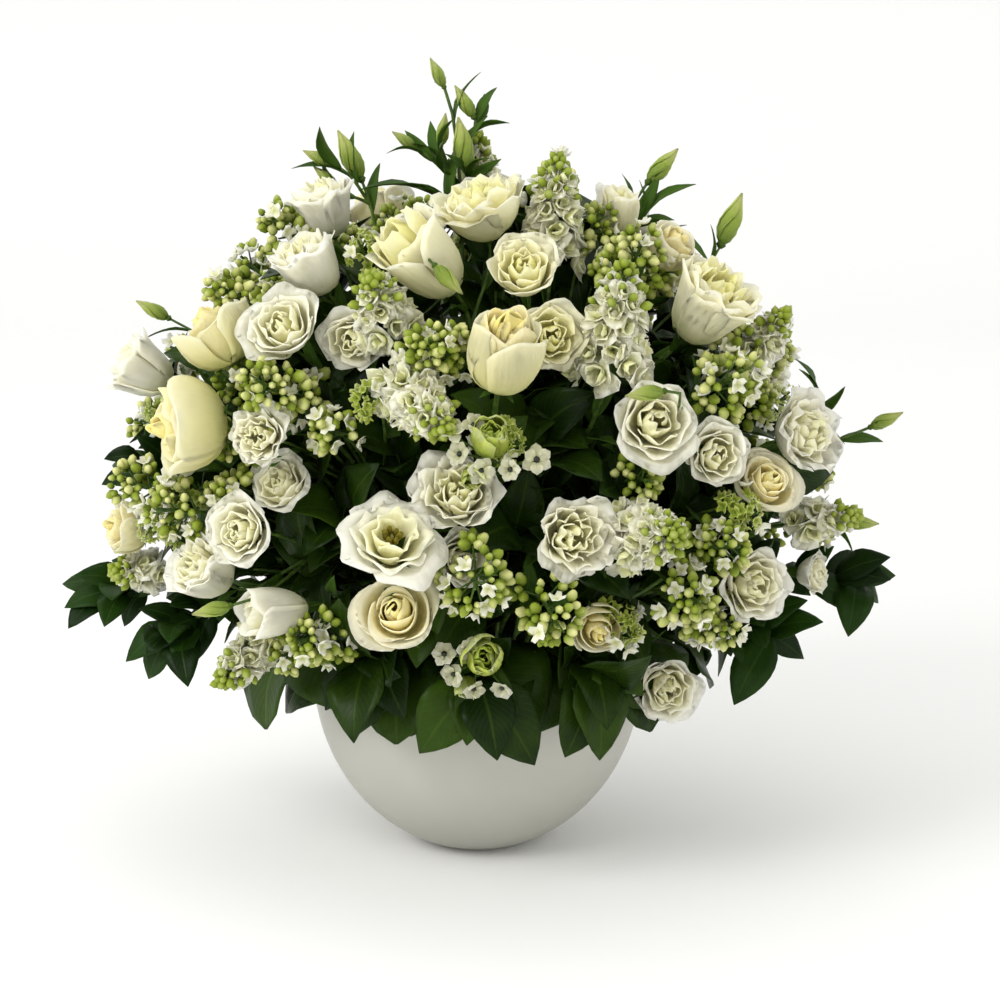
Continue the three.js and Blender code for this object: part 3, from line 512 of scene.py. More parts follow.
def stem_paths(node):
    """The paths of a node's stem and branches. The stem leaves the foam where the solid's stem does."""
    items = CARRIED[node]
    corners = np.array([v.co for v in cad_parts[node].data.vertices])
    near = np.linalg.norm(corners - np.array(HEART), axis=1) < HEART_REACH
    foot = Vector(np.unique(np.round(corners[near], 5), axis=0).mean(0))
    way = (foot - HEART).normalized()
    middle = sum((item.base for item in items), Vector()) / len(items)
    straight = max(STRAIGHT, (middle - HEART).length / 2) if len(items) > 1 else STRAIGHT
    top = HEART + way * straight
    direct = (items[0].base - top).normalized()
    main = bent_path(top, direct.lerp(way, 0.8).normalized(), items[0])
    paths = [np.vstack([np.array(foot), main])]
    for item in items[1:]:
        lean = []
        for k in range(len(main) - 1):
            ahead = Vector(main[k + 1] - main[k])
            lean.append(abs(math.degrees(ahead.angle(item.base - Vector(main[k]))) - FORK_ANGLE))
        fork = Vector(main[int(np.argmin(lean))])
        direct = (item.base - fork).normalized()
        paths.append(bent_path(fork, direct.lerp(way, 0.15).normalized(), item))
    for item, path in zip(items, paths):
        item.path = path
    return paths


def new_tree(name, *inputs):
    """A node tree that takes and gives geometry, with named inputs of some kinds."""
    tree = bpy.data.node_groups.new(name, "GeometryNodeTree")
    for socket, kind in (("Geometry", "Geometry"), *inputs):
        tree.interface.new_socket(socket, in_out="INPUT", socket_type="NodeSocket" + kind)
    tree.interface.new_socket("Geometry", in_out="OUTPUT", socket_type="NodeSocketGeometry")
    return tree, add_node(tree, "NodeGroupInput").outputs


def stored(tree, name, kind):
    """What a carrier mesh holds at each point under a name."""
    return add_node(
        tree, "GeometryNodeInputNamedAttribute", {"Name": name}, data_type=kind).outputs["Attribute"]


def end_tree(tree, geometry, material):
    """Makes all the instances real, sets their material, and gives the result."""
    real = add_node(tree, "GeometryNodeRealizeInstances", {"Geometry": geometry})
    skin = add_node(tree, "GeometryNodeSetMaterial", {"Geometry": real.outputs[0], "Material": material})
    add_node(tree, "NodeGroupOutput", {"Geometry": skin.outputs[0]})


def grown(name, carrier, tree, **values):
    """Runs a node tree on a carrier mesh with some inputs, and gives the result as a plain object."""
    start = new_object(name, carrier)
    modifier = start.modifiers.new("growth", "NODES")
    modifier.node_group = tree
    for socket in tree.interface.items_tree:
        if socket.in_out == "INPUT" and socket.name in values:
            modifier[socket.identifier] = values[socket.name]
    evaluated = start.evaluated_get(bpy.context.evaluated_depsgraph_get())
    mesh = bpy.data.meshes.new_from_object(evaluated)
    bpy.data.objects.remove(start)
    bpy.data.meshes.remove(carrier)
    return new_object(name, mesh)


# The tree draws a round stem along each path, as thick as its points say
stem_tree, given = new_tree("stem_along_its_path", ("Sides", "Int"), ("Material", "Material"))
thick = stored(stem_tree, "thick", "FLOAT")
line = add_node(stem_tree, "GeometryNodeMeshToCurve", {"Mesh": given["Geometry"]})
ring = add_node(stem_tree, "GeometryNodeCurvePrimitiveCircle", {"Resolution": given["Sides"], "Radius": 1.0})
tube = add_node(stem_tree, "GeometryNodeCurveToMesh", {
    "Curve": line.outputs[0], "Profile Curve": ring.outputs["Curve"],
    "Scale": thick, "Fill Caps": True})
smooth = add_node(stem_tree, "GeometryNodeSetShadeSmooth", {"Geometry": tube.outputs[0]})
end_tree(stem_tree, smooth.outputs[0], given["Material"])


# Green stem skin: matt, with a paler bloom in streaks 6 mm long
stem_skin, nodes, shader = new_material("fresh_green_stem_skin", Roughness=0.55, IOR=1.4)
where = add_node(nodes, "ShaderNodeTexCoord").outputs["Object"]
tone = ramp(nodes, noise(nodes, where, 6 * mm, 3), (0.3, "#2b4414"), (0.7, "#557026"))
nodes.links.new(tone, shader.inputs["Base Color"])


def stems(name, paths, first, others=(), sides=6):
    """Green stems along paths. The first has a radius at its foot and at its end, in mm, and so have the
    others, which are like it if nothing is said."""
    verts, edges, thick = [], [], []
    for path in paths:
        foot, end = others if verts and others else first
        edges += [(len(verts) + i, len(verts) + i + 1) for i in range(len(path) - 1)]
        verts += [tuple(p) for p in path]
        thick += list(np.linspace(foot * mm, end * mm, len(path)))
    mesh = bpy.data.meshes.new(name)
    mesh.from_pydata(verts, edges, [])
    mesh.attributes.new("thick", "FLOAT", "POINT").data.foreach_set("value", thick)
    return grown(name, mesh, stem_tree, Sides=sides, Material=stem_skin)


def fused(name, parts):
    """Joins parts that are already in place into one piece."""
    with bpy.context.temp_override(active_object=parts[0], selected_editable_objects=parts):
        bpy.ops.object.join()
    parts[0].name = name
    return parts[0]


# Leaves. Broad salal leaves hang over the rim, and sprays of ruscus reach out at the sides. All are dark,
# leathery and waxy, with a sunk midrib. More salal fills the dome's inside, where only dark green shows.
GOLDEN = math.pi * (3 - math.sqrt(5))  # the turn from each leaf or petal to the next
RIM_STEP = 9  # in degrees, from one leaf at the rim to the next
RIM_GAP = (42, 66)  # the turns to either side between which the leaves at the rim hang less far
INNER_TWIGS = 90
TOP_TWIGS = 10


def tones(u, v, shade):
    """A tone for each point of a grid: its place across, its place along, and one shade for all."""
    return np.stack([u + 0 * v, v + 0 * u, shade + 0 * (u + v)], 2)


def shell(grid, thick, tone):
    """A thin closed blade from a grid of points, rows by columns, with some thickness at each point."""
    rows, cols = grid.shape[:2]
    normal = np.cross(np.gradient(grid, axis=1), np.gradient(grid, axis=0))
    normal /= np.maximum(np.linalg.norm(normal, axis=2, keepdims=True), 1e-12)
    offset = normal * np.broadcast_to(thick, (rows, cols))[:, :, None] / 2
    verts = np.vstack([(grid + offset).reshape(-1, 3), (grid - offset).reshape(-1, 3)])
    n = rows * cols
    faces = []
    for i in range(rows - 1):
        for j in range(cols - 1):
            a, b, c, d = i * cols + j, i * cols + j + 1, (i + 1) * cols + j + 1, (i + 1) * cols + j
            faces += [(a, b, c, d), (n + d, n + c, n + b, n + a)]
    edge = [*range(cols - 1), *range(cols - 1, n - 1, cols),
            *range(n - 1, n - cols, -1), *range(n - cols, 0, -cols)]
    for a, b in zip(edge, edge[1:] + edge[:1]):
        faces.append((b, a, n + a, n + b))
    return verts, faces, np.vstack([tone.reshape(-1, 3)] * 2)


def leaf(length, width, fullest, arch, fold, wave, seed, rows=9, cols=7, blunt=0.85):
    """A leaf that starts at the origin, grows along +Z and turns its upper face to +Y. Its width is a share
    of its length, fullest below 1 puts its widest place nearer its foot, and a low blunt rounds its ends."""
    t = np.linspace(0, 1, rows)[:, None]
    u = np.linspace(-1, 1, cols)[None, :]
    half = 0.5 * width * np.maximum(np.sin(np.pi * np.minimum(t, 0.998) ** fullest) ** blunt, 0.02)
    edge = wave * np.sin(9 * t + 6.3 * draw(seed)) * u ** 2 * np.sign(u)
    lift = arch * np.sin(np.pi * t) + fold * np.abs(u) * half + edge * half * 2
    bend = 0.06 * (draw(seed + 1) - 0.5) * np.sin(np.pi * t)
    grid = np.stack([half * u + bend + 0 * lift, lift - 0.02 * t, t + 0 * lift], 2) * length
    return shell(grid, 0.011 * length * (1.2 - 0.6 * t * np.ones_like(u)), tones(u, t, draw(seed + 2)))


# The tree sets one of several variants on each mark, turned and sized as the mark says
MOST_VARIANTS = 99  # any number past the last variant, since the pick wraps round
growth_tree, given = new_tree(
    "growth_on_marks", ("Variants", "Collection"), ("Size variation", "Float"), ("Seed", "Int"),
    ("Material", "Material"))
info = add_node(growth_tree, "GeometryNodeCollectionInfo", {
    "Collection": given["Variants"], "Separate Children": True, "Reset Children": True})
face_way = stored(growth_tree, "facing", "FLOAT_VECTOR")
up_way = stored(growth_tree, "upward", "FLOAT_VECTOR")
size = stored(growth_tree, "size", "FLOAT")
along = add_node(growth_tree, "FunctionNodeAlignRotationToVector", {"Vector": face_way}, axis="Z")
rolled = add_node(growth_tree, "FunctionNodeAlignRotationToVector", {
    "Rotation": along.outputs[0], "Vector": up_way}, axis="Y", pivot_axis="Z")
smallest = worked_out(growth_tree, "SUBTRACT", 1.0, given["Size variation"])
largest = worked_out(growth_tree, "ADD", 1.0, given["Size variation"])
varied = add_node(growth_tree, "FunctionNodeRandomValue", {
    2: smallest, 3: largest, "Seed": given["Seed"]}, data_type="FLOAT")
scale = worked_out(growth_tree, "MULTIPLY", size, varied.outputs[1])
which = add_node(growth_tree, "FunctionNodeRandomValue", {
    4: 0, 5: MOST_VARIANTS, "Seed": given["Seed"]}, data_type="INT")
set_out = add_node(growth_tree, "GeometryNodeInstanceOnPoints", {
    "Points": given["Geometry"], "Instance": info.outputs[0], "Pick Instance": True,
    "Instance Index": which.outputs[2], "Rotation": rolled.outputs[0], "Scale": scale})
end_tree(growth_tree, set_out.outputs[0], given["Material"])


def variants(name, shapes):
    """A collection of shapes to grow, kept out of the scene."""
    kept = bpy.data.collections.new(name)
    for i, shells in enumerate(shapes):
        piece = mesh_object(f"{name}_{i}", shells, None)
        bpy.context.scene.collection.objects.unlink(piece)
        kept.objects.link(piece)
    return kept


def growth(name, marks, kept, material, variation, seed):
    """Grows a variant on each mark, (place, facing, upward, size). Sizes vary by a share of themselves."""
    mesh = bpy.data.meshes.new(name)
    mesh.from_pydata([tuple(mark[0]) for mark in marks], [], [])
    for kind, k in (("facing", 1), ("upward", 2)):
        values = np.array([tuple(mark[k]) for mark in marks]).ravel()
        mesh.attributes.new(kind, "FLOAT_VECTOR", "POINT").data.foreach_set("vector", values)
    mesh.attributes.new("size", "FLOAT", "POINT").data.foreach_set("value", [mark[3] for mark in marks])
    return grown(name, mesh, growth_tree, **{
        "Variants": kept, "Size variation": variation, "Seed": seed, "Material": material})


SIDE_VEINS = 75.0  # the turn of their wave from a leaf's foot to its tip: one every 5 mm of a salal leaf
VEIN_SHARE = 0.35  # how much of the vein's colour shows


def waxy_leaf(name, dark, fresh, vein, roughness):
    """Leaf skin: a waxy gloss over dark green, paler along the sunk midrib and side veins."""
    material, nodes, shader = new_material(name, Roughness=roughness, IOR=1.4, Specular_IOR_Level=0.14)
    tone = add_node(nodes, "ShaderNodeAttribute", attribute_name="blade").outputs["Vector"]
    parts = add_node(nodes, "ShaderNodeSeparateXYZ", {"Vector": tone}).outputs
    from_rib = worked_out(nodes, "ABSOLUTE", parts["X"])
    slant = worked_out(nodes, "MULTIPLY_ADD", from_rib, -0.35, parts["Y"])
    side_vein = worked_out(nodes, "SINE", worked_out(nodes, "MULTIPLY", slant, SIDE_VEINS))
    rib = add_node(nodes, "ShaderNodeMapRange", {
        "Value": from_rib, "From Max": 0.09, "To Min": 1.0, "To Max": 0.0})
    fine = add_node(nodes, "ShaderNodeMapRange", {
        "Value": side_vein, "From Min": 0.75, "To Max": 0.3})
    veins = worked_out(nodes, "MAXIMUM", rib.outputs[0], fine.outputs[0])
    where = add_node(nodes, "ShaderNodeTexCoord").outputs["Object"]
    age = worked_out(nodes, "ADD", noise(nodes, where, 18 * mm, 3), parts["Z"])
    green = ramp(nodes, worked_out(nodes, "MULTIPLY", age, 0.5), (0.25, dark), (0.75, fresh))
    weight = worked_out(nodes, "MULTIPLY", veins, VEIN_SHARE)
    mixed = add_node(nodes, "ShaderNodeMix", {0: weight, 6: green, 7: linear(vein)}, data_type="RGBA")
    nodes.links.new(mixed.outputs[2], shader.inputs["Base Color"])
    nodes.links.new(bump(nodes, veins, 0.5, -0.5 * mm), shader.inputs["Normal"])
    return material


salal_skin = waxy_leaf("waxy_salal_leaf", "#112305", "#30470d", "#465f1a", 0.34)
ruscus_skin = waxy_leaf("waxy_ruscus_leaf", "#0d1e06", "#203a0c", "#39561c", 0.38)
narrow_skin = waxy_leaf("matt_grey_green_leaf", "#1b330c", "#3d5a1a", "#6a8436", 0.5)


def leaf_variants(kind, count, seed, *form, **grid):
    """Some leaves of length 1 of one kind, each with its own wave and bend."""
    return variants(kind + "_leaf", [[leaf(1, *form, seed + 10 * i, **grid)] for i in range(count)])


LEAVES = {
    "salal": leaf_variants("salal", 4, 0, 0.64, 0.82, 0.14, 0.2, 0.07),
    "rim": leaf_variants("rim", 5, 20, 0.94, 0.86, 0.2, 0.06, 0.07, rows=11, cols=7, blunt=0.62),
    "inner": leaf_variants("inner", 3, 30, 0.62, 0.82, 0.14, 0.2, 0.07, rows=6, cols=5),
    "ruscus": leaf_variants("ruscus", 3, 50, 0.54, 0.85, 0.12, 0.1, 0.06, rows=9, cols=5),
    "narrow": leaf_variants("narrow", 3, 90, 0.24, 0.85, 0.12, 0.3, 0.06, rows=9, cols=5),
}
LEAF_SKIN = {"salal": salal_skin, "ruscus": ruscus_skin, "narrow": narrow_skin}
LEAF_LENGTH = {"salal": 62 * mm, "ruscus": 52 * mm, "narrow": 42 * mm}


def across(way, n=0.0):
    """A direction square to a way, turned about it by n radians."""
    way = Vector(way).normalized()
    side = way.cross(Vector((0, 0, 1)) if abs(way.z) < 0.95 else Vector((1, 0, 0))).normalized()
    return side * math.cos(n) + way.cross(side) * math.sin(n)


def leaf_to_tip(path, tip, length, sky=None):
    """A mark for a leaf that has its tip at a place and its foot where the path is about its length away."""
    far = np.abs(np.linalg.norm(path[2:] - np.array(tip), axis=1) - length)
    foot = Vector(path[2 + int(np.argmin(far))])
    way = tip - foot
    middle = (foot + tip) / 2
    outward = middle - Vector((0, 0, 40 * mm + 0.5 * middle.z))
    return foot, way.normalized(), outward if sky is None else sky, way.length


def leaves_along(path, first, last, count, length, spread, seed, sky=None):
    """Marks for leaves that stand out by turns along a share of a path. Their upper faces are towards its
    end, or towards a sky where one is given."""
    marks = []
    for i in range(count):
        share = first + (last - first) * i / max(count - 1, 1)
        k = min(int(share * (len(path) - 1)), len(path) - 2)
        place = Vector(path[k]).lerp(Vector(path[k + 1]), share * (len(path) - 1) - k)
        ahead = Vector(path[k + 1] - path[k]).normalized()
        side = across(ahead, i * 2.4 + 6 * draw(seed))
        way = (ahead + side * spread * (0.8 + 0.5 * draw(seed + i))).normalized()
        upper = ahead - side * 0.4 if sky is None else sky
        marks.append((place, way, upper, length * (0.8 + 0.4 * draw(seed + 31 * i))))
    return marks


def collar(first, last):
    """Marks for leaves that hang over the rim between two turns, each leaning its own way."""
    marks = []
    for i in range(int((last - first) / RIM_STEP)):
        turn = first + RIM_STEP * (i + 0.5) + 5 * (draw(i + first) - 0.5)
        drop = 18 * mm * draw(3 * i + first) + (0 if i % 2 else 14 * mm)
        if RIM_GAP[0] < abs(turn) < RIM_GAP[1]:
            drop -= 24 * mm
        foot = facing(turn, 0) * 138 * mm + Vector((0, 0, 192 * mm - 0.4 * drop))
        tip = facing(turn + 46 * (draw(5 * i + first) - 0.5), 0) * (176 * mm + 0.4 * drop)
        tip += Vector((0, 0, 152 * mm - drop))
        marks.append((foot, (tip - foot).normalized(), tip + foot, (68 + 14 * draw(i)) * mm))
    return marks


def inner_twigs():
    """The paths and the leaf marks of the twigs inside the dome. Most are spread evenly over it, some stand
    behind its top buds, and a few more close gaps at listed places. Each ends at a share of the way out to
    the dome."""
    ways = []
    for i in range(INNER_TWIGS):
        lift = math.degrees(math.asin(0.02 + 0.97 * (i + 0.5) / INNER_TWIGS)) - 8
        ways.append((math.degrees(i * GOLDEN), lift, 0.7 + 0.2 * draw(i) + (0.06 if lift > 45 else 0)))
    for i in range(TOP_TWIGS):
        ways.append((96 * draw(INNER_TWIGS + i) - 44, 52 + 3 * i, 0.93))
    ways += [(58, 38, 0.9), (50, 40, 0.85), (90, 46, 0.8), (88, 41, 0.84), (-60, 28, 0.88), (-72, 30, 0.9)]
    paths, marks = [], []
    for i, (turn, lift, share) in enumerate(ways):
        entry = HEART + facing(turn, max(36, lift)) * 100 * mm
        reach = Vector(on_dome(turn, lift)) * mm
        goal = SimpleNamespace(base=HEART.lerp(reach, share), face=facing(turn, lift + 10))
        paths.append(bent_path(entry, facing(turn, max(40, lift + 8)), goal))
        marks += leaves_along(paths[-1], 0.35, 1.0, 8, 60 * mm, 1.0, 700 + i)
    return paths, marks


# The turns between which each spray's leaves hang over the rim
COLLARS = {"leaves_front_1": (-62, -17), "leaves_front_2": (-17, 19), "leaves_front_3": (19, 64),
           "leaves_back_1": (64, 181), "leaves_back_2": (181, 298)}
for node, items in CARRIED.items():
    if not node.startswith("leaves"):
        continue
    paths = stem_paths(node)
    parts = [stems(node + "_twigs", paths, (2.1, 1.2))]
    for item in items:
        size = LEAF_LENGTH[item.kind]
        sky = Vector((0, -0.7, 0.7)) if item.kind == "ruscus" else None
        marks = [leaf_to_tip(item.path, tip, size, sky) for tip in item.tips]
        count = 11 if item.kind == "ruscus" else 7
        marks += leaves_along(item.path, 0.4, 0.97, count, 0.85 * size, 0.9, item.seed, sky)
        parts.append(growth(
            node + "_leaves", marks, LEAVES[item.kind], LEAF_SKIN[item.kind], 0.04, item.seed))
    if node in COLLARS:
        parts.append(growth(node + "_collar", collar(*COLLARS[node]), LEAVES["rim"], salal_skin, 0.08, 8))
    if node == "leaves_inner":
        twig_paths, marks = inner_twigs()
        parts.append(stems("inner_twigs", twig_paths, (1.8, 1), sides=5))
        parts.append(growth("inner_leaves", marks, LEAVES["inner"], salal_skin, 0.1, 5))
    put(fused(node + "_spray", parts), "leaves", node)


# Roses. Cream roses with thick, smooth petals in a spiral: the inner ones are rolled tight and stand up, and
# the outer ones lean out and turn back at the rim. Five green sepals hold each head.
def petal(bends, half, turn, roll, form, seed, layer):
    """A petal of a bloom of width 1. It rises from the axis by a curve through its bends, (radius, height),
    and wraps round the axis. Its rim is rounded, rolls back and is ruffled in waves."""
    u = np.linspace(-1, 1, form.cols)[None, :]
    v = np.linspace(0, 1, form.rows)[:, None]
    t = v * (1 - form.taper * np.abs(u) ** 2.8 * v)
    stops = ((0.045, 0.0), *bends)
    radius = sum(share * p[0] for share, p in zip(curve_shares(t), stops))
    height = sum(share * p[1] for share, p in zip(curve_shares(t), stops))
    width = half * (0.2 + 0.8 * np.sin(0.5 * np.pi * np.minimum(1.1 * t, 1)) ** 0.8)
    turn_back = roll * np.maximum(t - 0.72, 0) ** 2 * 12
    frill = form.ruffle * t ** 3
    phase = 6.3 * draw(seed)
    swell = 0.4 * form.ruffle * np.sin(np.pi * t) * np.sin(2.6 * u + 4 * t + 3 * phase)
    radius = radius + turn_back + swell + frill * np.sin(form.waves * u + phase) + 0.012 * u
    radius = np.maximum(radius, 0.012)
    height = height - 1.2 * turn_back + frill * np.sin(1.3 * form.waves * u + 2 * phase)
    angle = turn + np.clip(u * width / np.maximum(radius, 0.05), -2.3, 2.3)
    grid = np.stack([radius * np.cos(angle), radius * np.sin(angle), height], 2)
    return shell(grid, 0.011 - 0.006 * t + 0.012 * (1 - layer) ** 2, tones(u, v, layer))


def whorl(form, seed):
    """The petals of a bloom of width 1, from the heart outwards."""
    heart, outer = np.array(form.heart), np.array(form.outer)
    shells = []
    for i in range(form.petals):
        s = i / (form.petals - 1)
        opened = np.interp(s, *form.opening)
        bends = (heart * (1 - opened) + outer * opened) * (1 + form.loose * (draw(seed + i) - 0.5))
        half = (form.half[0] + (form.half[1] - form.half[0]) * s) * (0.85 + 0.3 * draw(seed + 11 * i))
        turn = i * GOLDEN + 0.5 * draw(seed + 3 * i)
        roll = form.roll * s * (0.6 + 0.8 * draw(seed + 5 * i))
        shells.append(petal(bends, half, turn, roll, form, seed + 7 * i, s))
    return shells


def placed(shells, item):
    """Sizes the shells of a bloom of width 1 and moves them to the end of its stem."""
    z = item.face
    x = across(z, 6.28 * draw(item.seed))
    turned_to = np.array([x, z.cross(x), z])
    foot = np.array(item.base)
    return [(points * item.width @ turned_to + foot, faces, *tone) for points, faces, *tone in shells]


def petal_skin(name, foot, middle, rim, heart, roughness):
    """Petal skin: matt, and light passes some way into it. It has soft folds, fine veins along it, a colour
    that changes from its foot to its rim, and another near the heart of the bloom."""
    material, nodes, shader = new_material(
        name, Roughness=roughness, IOR=1.4, Specular_IOR_Level=0.2, Subsurface_Weight=0.7,
        Subsurface_Scale=5 * mm)
    shader.inputs["Subsurface Radius"].default_value = (1.0, 1.0, 1.0)
    tone = add_node(nodes, "ShaderNodeAttribute", attribute_name="blade").outputs["Vector"]
    parts = add_node(nodes, "ShaderNodeSeparateXYZ", {"Vector": tone}).outputs
    base = ramp(nodes, parts["Y"], (0.0, foot), (0.5, middle), (0.95, rim))
    inner = add_node(nodes, "ShaderNodeMapRange", {
        "Value": parts["Z"], "From Max": 0.85, "To Min": 0.95, "To Max": 0.0})
    mixed = add_node(nodes, "ShaderNodeMix", {
        0: inner.outputs[0], 6: base, 7: linear(heart)}, data_type="RGBA")
    nodes.links.new(mixed.outputs[2], shader.inputs["Base Color"])
    folded = add_node(nodes, "ShaderNodeVectorMath", {0: tone, 1: (3.2, 2.4, 9)}, operation="MULTIPLY")
    soft = bump(nodes, noise(nodes, folded.outputs[0], 1), 0.4, 4 * mm)
    stretched = add_node(nodes, "ShaderNodeVectorMath", {0: tone, 1: (16, 1.2, 5)}, operation="MULTIPLY")
    veined = bump(nodes, noise(nodes, stretched.outputs[0], 1, 3), 0.22, 0.8 * mm, Normal=soft)
    nodes.links.new(veined, shader.inputs["Normal"])
    return material


cream_skin = petal_skin("cream_rose_petal", "#c6cb76", "#dbd28c", "#e1dba8", "#fbe07c", 0.5)
# A brighter copy of the cream rose petal for the open roses: partly their paler cream, partly painted light
# that lifts the shade in their deep folds
pale_painted_light_skin = petal_skin("pale_open_rose_petal_with_painted_light", "#dcd890", "#eae0a2", "#efe6bc", "#ffe98e", 0.5)

# Each kind of bloom, at width 1. Its petals run from the heart's bends, (radius, height), to the outer ones
# as its opening says, and grow from the first half width to the last. The rest shapes their rims and mesh
ROSES = {
    "open_rose": SimpleNamespace(
        petals=17,
        heart=[(0.08, 0.10), (0.17, 0.46), (0.0, 0.66)],
        outer=[(0.34, 0.0), (0.47, 0.42), (0.46, 0.47)],
        half=(0.10, 0.58), opening=((0, 0.66, 0.74, 1), (0, 0.5, 0.72, 1)), loose=0.14, roll=0.12,
        ruffle=0.026, waves=3.5, taper=0.3, rows=8, cols=13),
    "rose": SimpleNamespace(
        petals=14,
        heart=[(0.10, 0.10), (0.18, 0.55), (0.0, 0.76)],
        outer=[(0.42, 0.0), (0.55, 0.46), (0.44, 0.66)],
        half=(0.14, 0.56), opening=((0, 0.55, 0.65, 1), (0, 0.45, 0.75, 1)), loose=0.16, roll=0.08,
        ruffle=0.035, waves=3.5, taper=0.3, rows=8, cols=13),
    "rose_bud": SimpleNamespace(
        petals=15,
        heart=[(0.16, 0.10), (0.30, 0.86), (0.02, 1.14)],
        outer=[(0.50, 0.06), (0.62, 0.64), (0.32, 1.08)],
        half=(0.20, 0.60), opening=((0, 1), (0.1, 1)), loose=0.14, roll=0.16, ruffle=0.045,
        waves=3.5, taper=0.26, rows=10, cols=13),
}


def swung(side, out, up, turn):
    """Points at some distances sideways, outwards and up, swung round the axis by a turn."""
    x = out * math.cos(turn) - side * math.sin(turn)
    y = out * math.sin(turn) + side * math.cos(turn)
    return np.stack([x, y, up], 1)


def calyx(count, length, width, spread, seed):
    """Sepals round the foot of a bloom of width 1, on a small green cup."""
    cup = [(0, -0.05), (0.04, -0.04), (0.09, 0.02), (0.07, 0.07), (0, 0.09)]
    shells = [turned(cup, 8)]
    for i in range(count):
        points, faces, tone = leaf(length, width, 0.7, -0.1, 0.2, 0.02, seed + i, 7, 3)
        a = 2 * math.pi * i / count + 0.3 * draw(seed + i)
        lean = spread + 0.3 * draw(seed + 9 * i)
        x, y, z = points.T
        out = 0.05 + z * math.sin(lean) + y * math.cos(lean)
        up = z * math.cos(lean) - y * math.sin(lean)
        shells.append((swung(x, out, up, a), [face[::-1] for face in faces], tone))
    return shells


for node, items in CARRIED.items():
    if not node.startswith("rose"):
        continue
    item = items[0]
    stem = stems(node + "_stem", stem_paths(node), (2.3, 1.9))
    petals = placed(whorl(ROSES[item.kind], item.seed), item)
    sepals = placed(calyx(5, 0.34, 0.3, 1.35, item.seed), item)
    marks = leaves_along(item.path, 0.35, 0.8, 4, 42 * mm, 0.9, item.seed)
    # The open roses wear the brighter copy, whose colour holds painted light
    parts = [
        stem,
        mesh_object(node + "_petals", petals, pale_painted_light_skin if item.kind == "open_rose" else cream_skin),
        mesh_object(node + "_sepals", sepals, narrow_skin),
        growth(node + "_leaves", marks, LEAVES["salal"], salal_skin, 0.1, item.seed)]
    put(fused(node + "_cut", parts), "cream_petals", node)


# Lisianthus. Double white or ivory blooms with thin ruffled petals in a loose spiral, green at the foot, on
# forked stems with grey-green leaves. Some are bells seen from the side, some cups, and one is wide open. The
# closed buds are slim, pointed and twisted, pale green at the tip.
BUD_PETALS = 5
STAMENS = 7
white_skin = petal_skin("white_lisianthus_petal", "#d3d892", "#eeebc8", "#f2efd9", "#e9e4a8", 0.55)
ivory_skin = petal_skin("ivory_lisianthus_petal", "#ccd27e", "#eee9ae", "#f3edc2", "#eae392", 0.55)
bud_skin = petal_skin("green_lisianthus_bud", "#5b7428", "#8fa342", "#cdd07f", "#8a9f42", 0.5)
olive_skin = petal_skin("olive_yellow_stamen", "#2f2c0c", "#6a6118", "#b3a23c", "#6a6118", 0.6)
IVORY = ("lisianthus_4", "lisianthus_5", "lisianthus_6")  # the stems whose blooms are ivory
LISIANTHUS = {
    "lisianthus": SimpleNamespace(
        petals=13,
        heart=[(0.10, 0.15), (0.22, 0.46), (0.05, 0.62)],
        outer=[(0.28, 0.0), (0.50, 0.40), (0.49, 0.57)],
        half=(0.18, 0.60), opening=((0, 0.5, 1), (0, 0.55, 1)), loose=0.16, roll=0.1, ruffle=0.038,
        waves=6.6, taper=0.1, rows=7, cols=13),
    "ruffled": SimpleNamespace(
        petals=16,
        heart=[(0.10, 0.15), (0.20, 0.44), (0.06, 0.64)],
        outer=[(0.28, 0.0), (0.50, 0.38), (0.52, 0.54)],
        half=(0.16, 0.52), opening=((0, 0.5, 1), (0, 0.55, 1)), loose=0.24, roll=0.1, ruffle=0.05,
        waves=7, taper=0.1, rows=7, cols=13),
    "open": SimpleNamespace(
        petals=11,
        heart=[(0.10, 0.10), (0.17, 0.36), (0.19, 0.54)],
        outer=[(0.28, 0.0), (0.50, 0.30), (0.56, 0.42)],
        half=(0.24, 0.64), opening=((0, 1), (0, 1)), loose=0.12, roll=0.14, ruffle=0.04,
        waves=6.6, taper=0.1, rows=7, cols=15),
    "bell": SimpleNamespace(
        petals=14,
        heart=[(0.12, 0.12), (0.26, 0.62), (0.08, 0.88)],
        outer=[(0.38, 0.02), (0.44, 0.56), (0.50, 0.86)],
        half=(0.18, 0.58), opening=((0, 0.5, 1), (0, 0.6, 1)), loose=0.14, roll=0.08, ruffle=0.05,
        waves=6.6, taper=0.1, rows=7, cols=13),
    "cup": SimpleNamespace(
        petals=9,
        heart=[(0.20, 0.15), (0.36, 0.85), (0.04, 1.26)],
        outer=[(0.46, 0.15), (0.52, 0.86), (0.44, 1.30)],
        half=(0.25, 0.6), opening=((0, 1), (0.1, 1)), loose=0.16, roll=0.1, ruffle=0.045,
        waves=5, taper=0.28, rows=8, cols=11),
}


def closed_bud():
    """A slim twisted bud of length 1, its petals wound round each other."""
    v = np.linspace(0, 1, 8)[:, None]
    u = np.linspace(-1, 1, 5)[None, :]
    shells = []
    for i in range(BUD_PETALS):
        radius = 0.17 * np.maximum(np.sin(np.pi * np.minimum(v, 0.985) ** 0.75), 0.05) * (1 + 0.14 * u)
        angle = 2 * math.pi * i / BUD_PETALS + 0.85 * u + 2.2 * v
        grid = np.stack([radius * np.cos(angle), radius * np.sin(angle), v + 0 * u], 2)
        shells.append(shell(grid, 0.02, tones(u, v, 0.6)))
    return shells


stamen_profile = [(0, 0), (0.03, 0.1), (0.03, 0.7), (0.11, 0.8), (0.08, 1), (0, 1.03)]
stamens = variants("stamen", [[turned(stamen_profile, 6)]])


def eye(node, item):
    """The stamens that stand apart in the middle of the wide-open bloom."""
    foot = item.base + item.face * 8 * mm
    marks = [(foot, item.face + across(item.face, k) * 0.25, across(item.face), 22 * mm)
             for k in range(STAMENS)]
    return growth(node + "_eye", marks, stamens, olive_skin, 0.1, item.seed)


